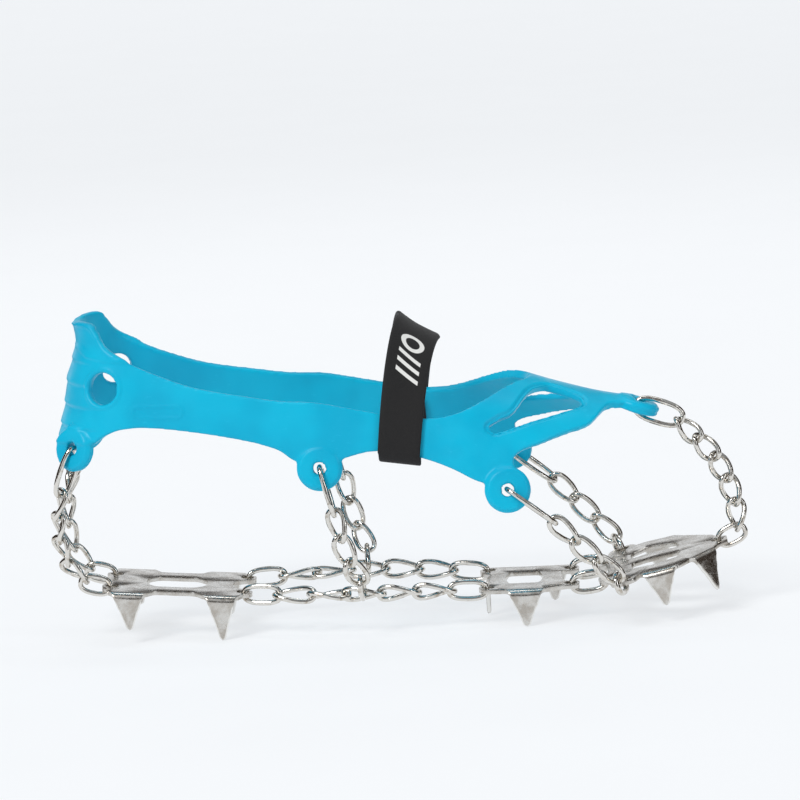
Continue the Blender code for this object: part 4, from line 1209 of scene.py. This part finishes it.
class Nodes:
    """Short-hand for building a material's node tree."""

    def __init__(self, name):
        self.material = bpy.data.materials.new(name)
        self.material.use_nodes = True
        self.tree = self.material.node_tree
        self.shader = self.tree.nodes["Principled BSDF"]

    def add(self, kind, **settings):
        node = self.tree.nodes.new(kind)
        for key, value in settings.items():
            setattr(node, key, value)
        return node

    def link(self, output, target):
        self.tree.links.new(output, target)

    def drive(self, socket, output):
        """Feed one of the shader's sockets."""
        self.link(output, self.shader.inputs[socket])

    def set(self, socket, value):
        self.shader.inputs[socket].default_value = value

    def place(self, scale=(1, 1, 1), rotation=(0, 0, 0)):
        """Object coordinates in millimetres, stretched by scale."""
        where = self.add("ShaderNodeTexCoord")
        mapping = self.add("ShaderNodeMapping")
        mapping.inputs["Scale"].default_value = [1000 * s for s in scale]
        mapping.inputs["Rotation"].default_value = rotation
        self.link(where.outputs["Object"], mapping.inputs["Vector"])
        return mapping.outputs["Vector"]

    def noise(self, where, scale, detail=4.0, roughness=0.55):
        node = self.add("ShaderNodeTexNoise")
        node.inputs["Scale"].default_value = scale
        node.inputs["Detail"].default_value = detail
        node.inputs["Roughness"].default_value = roughness
        self.link(where, node.inputs["Vector"])
        return node.outputs["Fac"]

    def ramp(self, value, low, high, start=0.0, end=1.0):
        node = self.add("ShaderNodeMapRange")
        node.interpolation_type = "SMOOTHSTEP"
        for key, number in (("From Min", low), ("From Max", high), ("To Min", start), ("To Max", end)):
            node.inputs[key].default_value = number
        self.link(value, node.inputs["Value"])
        return node.outputs["Result"]

    def math(self, operation, a, b=None):
        node = self.add("ShaderNodeMath", operation=operation)
        for socket, value in zip(node.inputs, (a, b)):
            if isinstance(value, (int, float)):
                socket.default_value = value
            elif value is not None:
                self.link(value, socket)
        return node.outputs["Value"]

    def mix(self, factor, first, second):
        node = self.add("ShaderNodeMix", data_type="RGBA")
        colours = [s for s in node.inputs if s.type == "RGBA"]
        self.link(factor, node.inputs[0])
        for socket, value in zip(colours, (first, second)):
            if isinstance(value, tuple):
                socket.default_value = value
            else:
                self.link(value, socket)
        return [s for s in node.outputs if s.type == "RGBA"][0]

    def bump(self, height, strength, distance, below=None):
        node = self.add("ShaderNodeBump")
        node.inputs["Strength"].default_value = strength
        node.inputs["Distance"].default_value = distance * MM
        self.link(height, node.inputs["Height"])
        if below is not None:
            self.link(below, node.inputs["Normal"])
        return node.outputs["Normal"]


def elastomer():
    n = Nodes("moulded_elastomer")
    where = n.place()
    broad = n.ramp(n.noise(where, 0.035, 2.0), 0.35, 0.65)
    colour = n.mix(broad, RUBBER_DEEP, RUBBER_LIGHT)
    scuffs = n.ramp(n.noise(n.place((1.0, 1.0, 3.0)), 0.22, 6.0, 0.7), 0.60, 0.74)
    colour = n.mix(n.math("MULTIPLY", scuffs, 0.30), colour, RUBBER_SCUFF)
    dust = n.ramp(n.noise(where, 0.9, 8.0, 0.75), 0.62, 0.8)
    colour = n.mix(n.math("MULTIPLY", dust, 0.16), colour, RUBBER_DUST)
    n.drive("Base Color", colour)
    rough = n.ramp(n.noise(where, 0.12, 5.0, 0.6), 0.3, 0.7, 0.30, 0.42)
    n.drive("Roughness", n.math("ADD", rough, n.math("MULTIPLY", scuffs, 0.14)))
    waves = n.bump(n.noise(where, 0.16, 2.0), 0.35, 0.35)
    grain = n.bump(n.noise(where, 3.2, 3.0), 0.30, 0.05, waves)
    n.drive("Normal", grain)
    n.set("Specular IOR Level", 0.22)
    n.set("Subsurface Weight", 0.06)
    n.set("Subsurface Radius", (0.3, 0.8, 1.0))
    n.set("Subsurface Scale", 1.0 * MM)
    return n.material


def chain_steel():
    n = Nodes("polished_chain_steel")
    where = n.place()
    stain = n.ramp(n.noise(where, 0.30, 5.0, 0.6), 0.50, 0.72)
    colour = n.mix(stain, CHAIN_CLEAN, CHAIN_STAIN)
    grime = n.ramp(n.noise(where, 1.9, 5.0, 0.7), 0.60, 0.74)
    colour = n.mix(n.math("MULTIPLY", grime, 0.5), colour, CHAIN_GRIME)
    n.drive("Base Color", colour)
    n.set("Metallic", 1.0)
    smear = n.noise(n.place((1.0, 1.0, 0.4)), 1.4, 6.0, 0.65)
    rough = n.ramp(smear, 0.35, 0.75, 0.06, 0.17)
    n.drive("Roughness", n.math("ADD", rough, n.math("MULTIPLY", grime, 0.16)))
    dents = n.bump(n.noise(where, 0.55, 3.0), 0.30, 0.16)
    lines = n.bump(n.noise(n.place((6.0, 6.0, 1.2), (0.4, 0.3, 0.0)), 1.6, 4.0), 0.18, 0.02, dents)
    n.drive("Normal", lines)
    return n.material


def plate_steel():
    n = Nodes("tumbled_plate_steel")
    where = n.place()
    ground = n.add("ShaderNodeAttribute", attribute_name="ground_edge").outputs["Fac"]
    # lighter, smoother colour on the thinned spike edges and tips: bare ground steel, partly a painted
    # highlight of the bevels
    ground_and_highlight = n.ramp(n.math("ADD", ground, n.math("MULTIPLY", n.noise(where, 1.1, 3.0), 0.3)), 0.35, 0.75)
    cloud = n.ramp(n.noise(where, 0.16, 5.0, 0.6), 0.38, 0.66)
    colour = n.mix(cloud, PLATE_LIGHT, PLATE_CLOUD)
    colour = n.mix(ground_and_highlight, colour, PLATE_GROUND_AND_HIGHLIGHT)
    grit = n.ramp(n.noise(where, 2.6, 6.0, 0.75), 0.54, 0.70)
    colour = n.mix(n.math("MULTIPLY", grit, 0.30), colour, PLATE_GRIT)
    n.drive("Base Color", colour)
    n.set("Metallic", 1.0)
    rough = n.ramp(n.noise(where, 0.7, 6.0, 0.65), 0.3, 0.7, 0.18, 0.32)
    rough = n.math("ADD", rough, n.math("MULTIPLY", grit, 0.14))
    n.drive("Roughness", n.math("SUBTRACT", rough, n.math("MULTIPLY", ground_and_highlight, 0.06)))
    pits = n.bump(n.noise(where, 1.5, 5.0, 0.7), 0.14, 0.05)
    brushed = n.bump(n.noise(n.place((0.12, 3.0, 3.0), (0.0, 0.1, 0.3)), 1.2, 4.0), 0.18, 0.03, pits)
    n.drive("Normal", brushed)
    return n.material


WEAVE = (0.9, 1.1)              # pitch of the strap's threads across and along
MARK_RING_AT = 22.0             # distance of the printed ring from the crest, on the near side
MARK_RING_RADIUS = 4.3
MARK_BARS_AT = (31.0, 36.0, 41.0)
MARK_BAR_REACH = (5.1, 5.3)     # half length of a bar, from its full print to its end
MARK_SLANT = 0.35
MARK_LINE = (0.95, 1.15)        # half width of the printed lines, from full print to none


def strap_cloth():
    n = Nodes("strap_webbing")
    along = n.add("ShaderNodeAttribute", attribute_name="strap_along").outputs["Fac"]
    across = n.add("ShaderNodeAttribute", attribute_name="strap_across").outputs["Fac"]
    where = n.place()
    warp = n.math("SINE", n.math("MULTIPLY", across, 2 * math.pi / WEAVE[0]))
    weft = n.math("SINE", n.math("MULTIPLY", along, 2 * math.pi / WEAVE[1]))
    weave = n.math("MULTIPLY", warp, weft)
    fuzz = n.noise(where, 2.2, 5.0, 0.7)
    base = n.mix(n.ramp(fuzz, 0.35, 0.75), CLOTH_DARK, CLOTH_FUZZ)
    # printed mark: a ring and three slanted bars
    ring = n.math("SUBTRACT", along, MARK_RING_AT)
    ring = n.math("SQRT", n.math("ADD", n.math("POWER", ring, 2.0), n.math("POWER", across, 2.0)))
    ring = n.ramp(n.math("ABSOLUTE", n.math("SUBTRACT", ring, MARK_RING_RADIUS)), *MARK_LINE, 1.0, 0.0)
    mark = ring
    for at in MARK_BARS_AT:
        bar = n.math("SUBTRACT", n.math("SUBTRACT", along, at), n.math("MULTIPLY", across, MARK_SLANT))
        bar = n.ramp(n.math("ABSOLUTE", bar), *MARK_LINE, 1.0, 0.0)
        bar = n.math("MULTIPLY", bar, n.ramp(n.math("ABSOLUTE", across), *MARK_BAR_REACH, 1.0, 0.0))
        mark = n.math("MAXIMUM", mark, bar)
    worn = n.ramp(fuzz, 0.60, 0.74, 1.0, 0.55)
    mark = n.math("MULTIPLY", mark, worn)
    colour = n.mix(mark, base, MARK_WHITE)
    n.drive("Base Color", colour)
    n.drive("Roughness", n.ramp(fuzz, 0.3, 0.7, 0.58, 0.78))
    woven = n.bump(weave, 0.35, 0.10)
    n.drive("Normal", n.bump(fuzz, 0.25, 0.08, woven))
    n.set("Specular IOR Level", 0.25)
    n.set("Sheen Weight", 0.06)
    n.set("Sheen Roughness", 0.5)
    return n.material


PAPER_GLOW = 0.65               # light that the paper gives off itself, for an even pale ground


def floor_paint():
    n = Nodes("studio_paper")
    where = n.place()
    colour = n.mix(n.noise(where, 0.01, 3.0), PAPER_DARK, PAPER_LIGHT)
    n.drive("Base Color", colour)
    n.drive("Roughness", n.ramp(n.noise(where, 0.05, 3.0), 0.3, 0.7, 0.85, 0.95))
    n.set("Specular IOR Level", 0.0)
    n.set("Emission Color", PAPER_LIT)
    n.set("Emission Strength", PAPER_GLOW)
    return n.material


# ---------------------------------------------------------------- studio

FRAME_WIDTH = 0.368             # metres across the picture at the object
LOOK_AT = Vector((0.0029, 0.0, 0.103))
AZIMUTH = 2.5                   # degrees from square on to the right side, towards the toe
ELEVATION = 10.0
ROLL = 3.2
LENS = 200.0
SENSOR = 36.0
AIM = (0.0, 0.0, 0.07)          # point that the lamps and the cards face


def add_camera():
    data = bpy.data.cameras.new("camera")
    data.lens = LENS
    data.sensor_width = SENSOR
    distance = FRAME_WIDTH * LENS / SENSOR
    azimuth = math.radians(AZIMUTH)
    elevation = math.radians(ELEVATION)
    back = Vector((math.sin(azimuth) * math.cos(elevation), -math.cos(azimuth) * math.cos(elevation),
                   math.sin(elevation)))
    camera = bpy.data.objects.new("camera", data)
    bpy.context.scene.collection.objects.link(camera)
    camera.location = LOOK_AT + back * distance
    upright = (-back).to_track_quat("-Z", "Y").to_matrix()
    turned_by = Matrix.Rotation(math.radians(-ROLL), 3, "Z")
    camera.rotation_mode = "QUATERNION"
    camera.rotation_quaternion = (upright @ turned_by).to_quaternion()
    data.clip_start = 0.05
    data.clip_end = 50.0
    bpy.context.scene.camera = camera


def add_light(name, where, size, power, colour):
    data = bpy.data.lights.new(name, "AREA")
    data.shape = "RECTANGLE"
    data.size, data.size_y = size
    data.energy = power
    data.color = colour
    place_object(name, data, where, AIM)


# radius and height of each ring of the paper sweep, in metres
SWEEP = [(1.0, 0.0), (2.4, 0.0), (3.2, 0.0), (3.7, 0.08), (4.1, 0.28), (4.4, 0.6), (4.5, 1.0), (4.5, 1.9)]
SWEEP_STEPS = 72
FLOOR_DROP = 0.0002             # metres from the paper to the lowest spikes


def add_backdrop(look):
    """Paper sweep: a round floor that curves up far behind the object, for every view."""
    bm = bmesh.new()
    rings = []
    for radius, height in SWEEP:
        turns = [2 * math.pi * k / SWEEP_STEPS for k in range(SWEEP_STEPS)]
        rings.append([bm.verts.new((radius * math.cos(t), radius * math.sin(t), height - FLOOR_DROP))
                      for t in turns])
    bm.faces.new(rings[0])
    for here, there in zip(rings, rings[1:]):
        join_rings(bm, here, there)
    floor = finish_mesh("studio_sweep", bm, smooth_angle=60)
    floor.data.materials.append(look)


def add_flag(name, where, size, aim):
    """Black card beside the object, seen only in reflections, that gives the metal its dark lines."""
    bm = bmesh.new()
    w, h = size[0] / 2, size[1] / 2
    bm.faces.new([bm.verts.new((x, y, 0)) for x, y in ((-w, -h), (w, -h), (w, h), (-w, h))])
    card = finish_mesh(name, bm)
    n = Nodes(name + "_black")
    n.set("Base Color", CARD_BLACK)
    n.set("Roughness", 1.0)
    n.set("Specular IOR Level", 0.0)
    card.data.materials.append(n.material)
    card.location = where
    card.rotation_euler = (Vector(aim) - Vector(where)).to_track_quat("-Z", "Y").to_euler()
    card.visible_camera = False
    card.visible_shadow = False
    card.visible_diffuse = False


def add_sun(name, where, strength, angle, colour):
    data = bpy.data.lights.new(name, "SUN")
    data.energy = strength
    data.angle = math.radians(angle)
    data.color = colour
    place_object(name, data, where, (0, 0, 0))


SKY = (0.92, 0.96, 1.0, 1)
SKY_STRENGTH = 0.40
WHITE = (1, 1, 1)
# place, strength, angular size in degrees, colour
SUN = ((-0.8, -1.0, 1.5), 1.30, 22.0, (1.0, 0.985, 0.96))
# name, place, size, power, colour
SOFTBOXES = [
    ("softbox_left", (-0.9, -1.0, 1.1), (0.30, 0.8), 4.2, (1.0, 0.99, 0.97)),
    ("softbox_right", (1.2, -0.9, 0.8), (0.22, 0.8), 2.6, (0.97, 0.985, 1.0)),
    ("softbox_top", (0.1, 0.35, 1.5), (1.3, 0.20), 3.4, WHITE),
    ("softbox_back", (-0.2, 1.3, 0.9), (1.2, 0.25), 2.6, WHITE),
]
# name, place, size, point that it faces
CARDS = [
    ("flag_left", (-0.9, 0.0, 0.40), (1.7, 1.0), AIM),
    ("flag_right", (1.0, 0.1, 0.40), (1.7, 1.0), AIM),
    ("flag_back", (0.0, 1.1, 0.66), (2.0, 0.45), AIM),
    ("flag_front", (0.15, -1.5, 0.33), (1.3, 0.55), AIM),
    ("flag_over", (0.0, -0.45, 1.6), (1.5, 0.9), AIM),
    ("flag_low", (0.1, -0.62, 0.012), (1.8, 0.55), (0.1, -0.62, 1.0)),
    ("flag_low_back", (0.0, 0.75, 0.012), (1.8, 0.5), (0.0, 0.75, 1.0)),
]


def light_studio():
    world_look = bpy.data.worlds.new("studio")
    world_look.use_nodes = True
    background = world_look.node_tree.nodes["Background"]
    background.inputs["Color"].default_value = SKY
    background.inputs["Strength"].default_value = SKY_STRENGTH
    bpy.context.scene.world = world_look
    bpy.context.scene.view_settings.view_transform = "Standard"
    add_sun("key", *SUN)
    for softbox in SOFTBOXES:
        add_light(*softbox)
    for card in CARDS:
        add_flag(*card)


# ---------------------------------------------------------------- assembly

LOOK_TPE = elastomer()
LOOK_CHAIN = chain_steel()
LOOK_PLATE = plate_steel()

settle_routes()
build_harness(LOOK_TPE)
build_strap(strap_cloth())
for plate_name, plate_data in PLATES.items():
    build_plate(plate_name, plate_data, LOOK_PLATE)
for strand_name, strand_data in STRANDS.items():
    strand_pieces = strand_links(strand_name, strand_data)
    if strand_name == "toe":
        build_pieces("toe", strand_pieces, False)
    else:
        build_pieces(strand_name + "_right", strand_pieces, False)
        build_pieces(strand_name + "_left", strand_pieces, True)
for left in (False, True):
    build_pieces("underfoot_left" if left else "underfoot_right", underfoot_links(), left)
    build_connecting_ring(left)

add_camera()
add_backdrop(floor_paint())
light_studio()
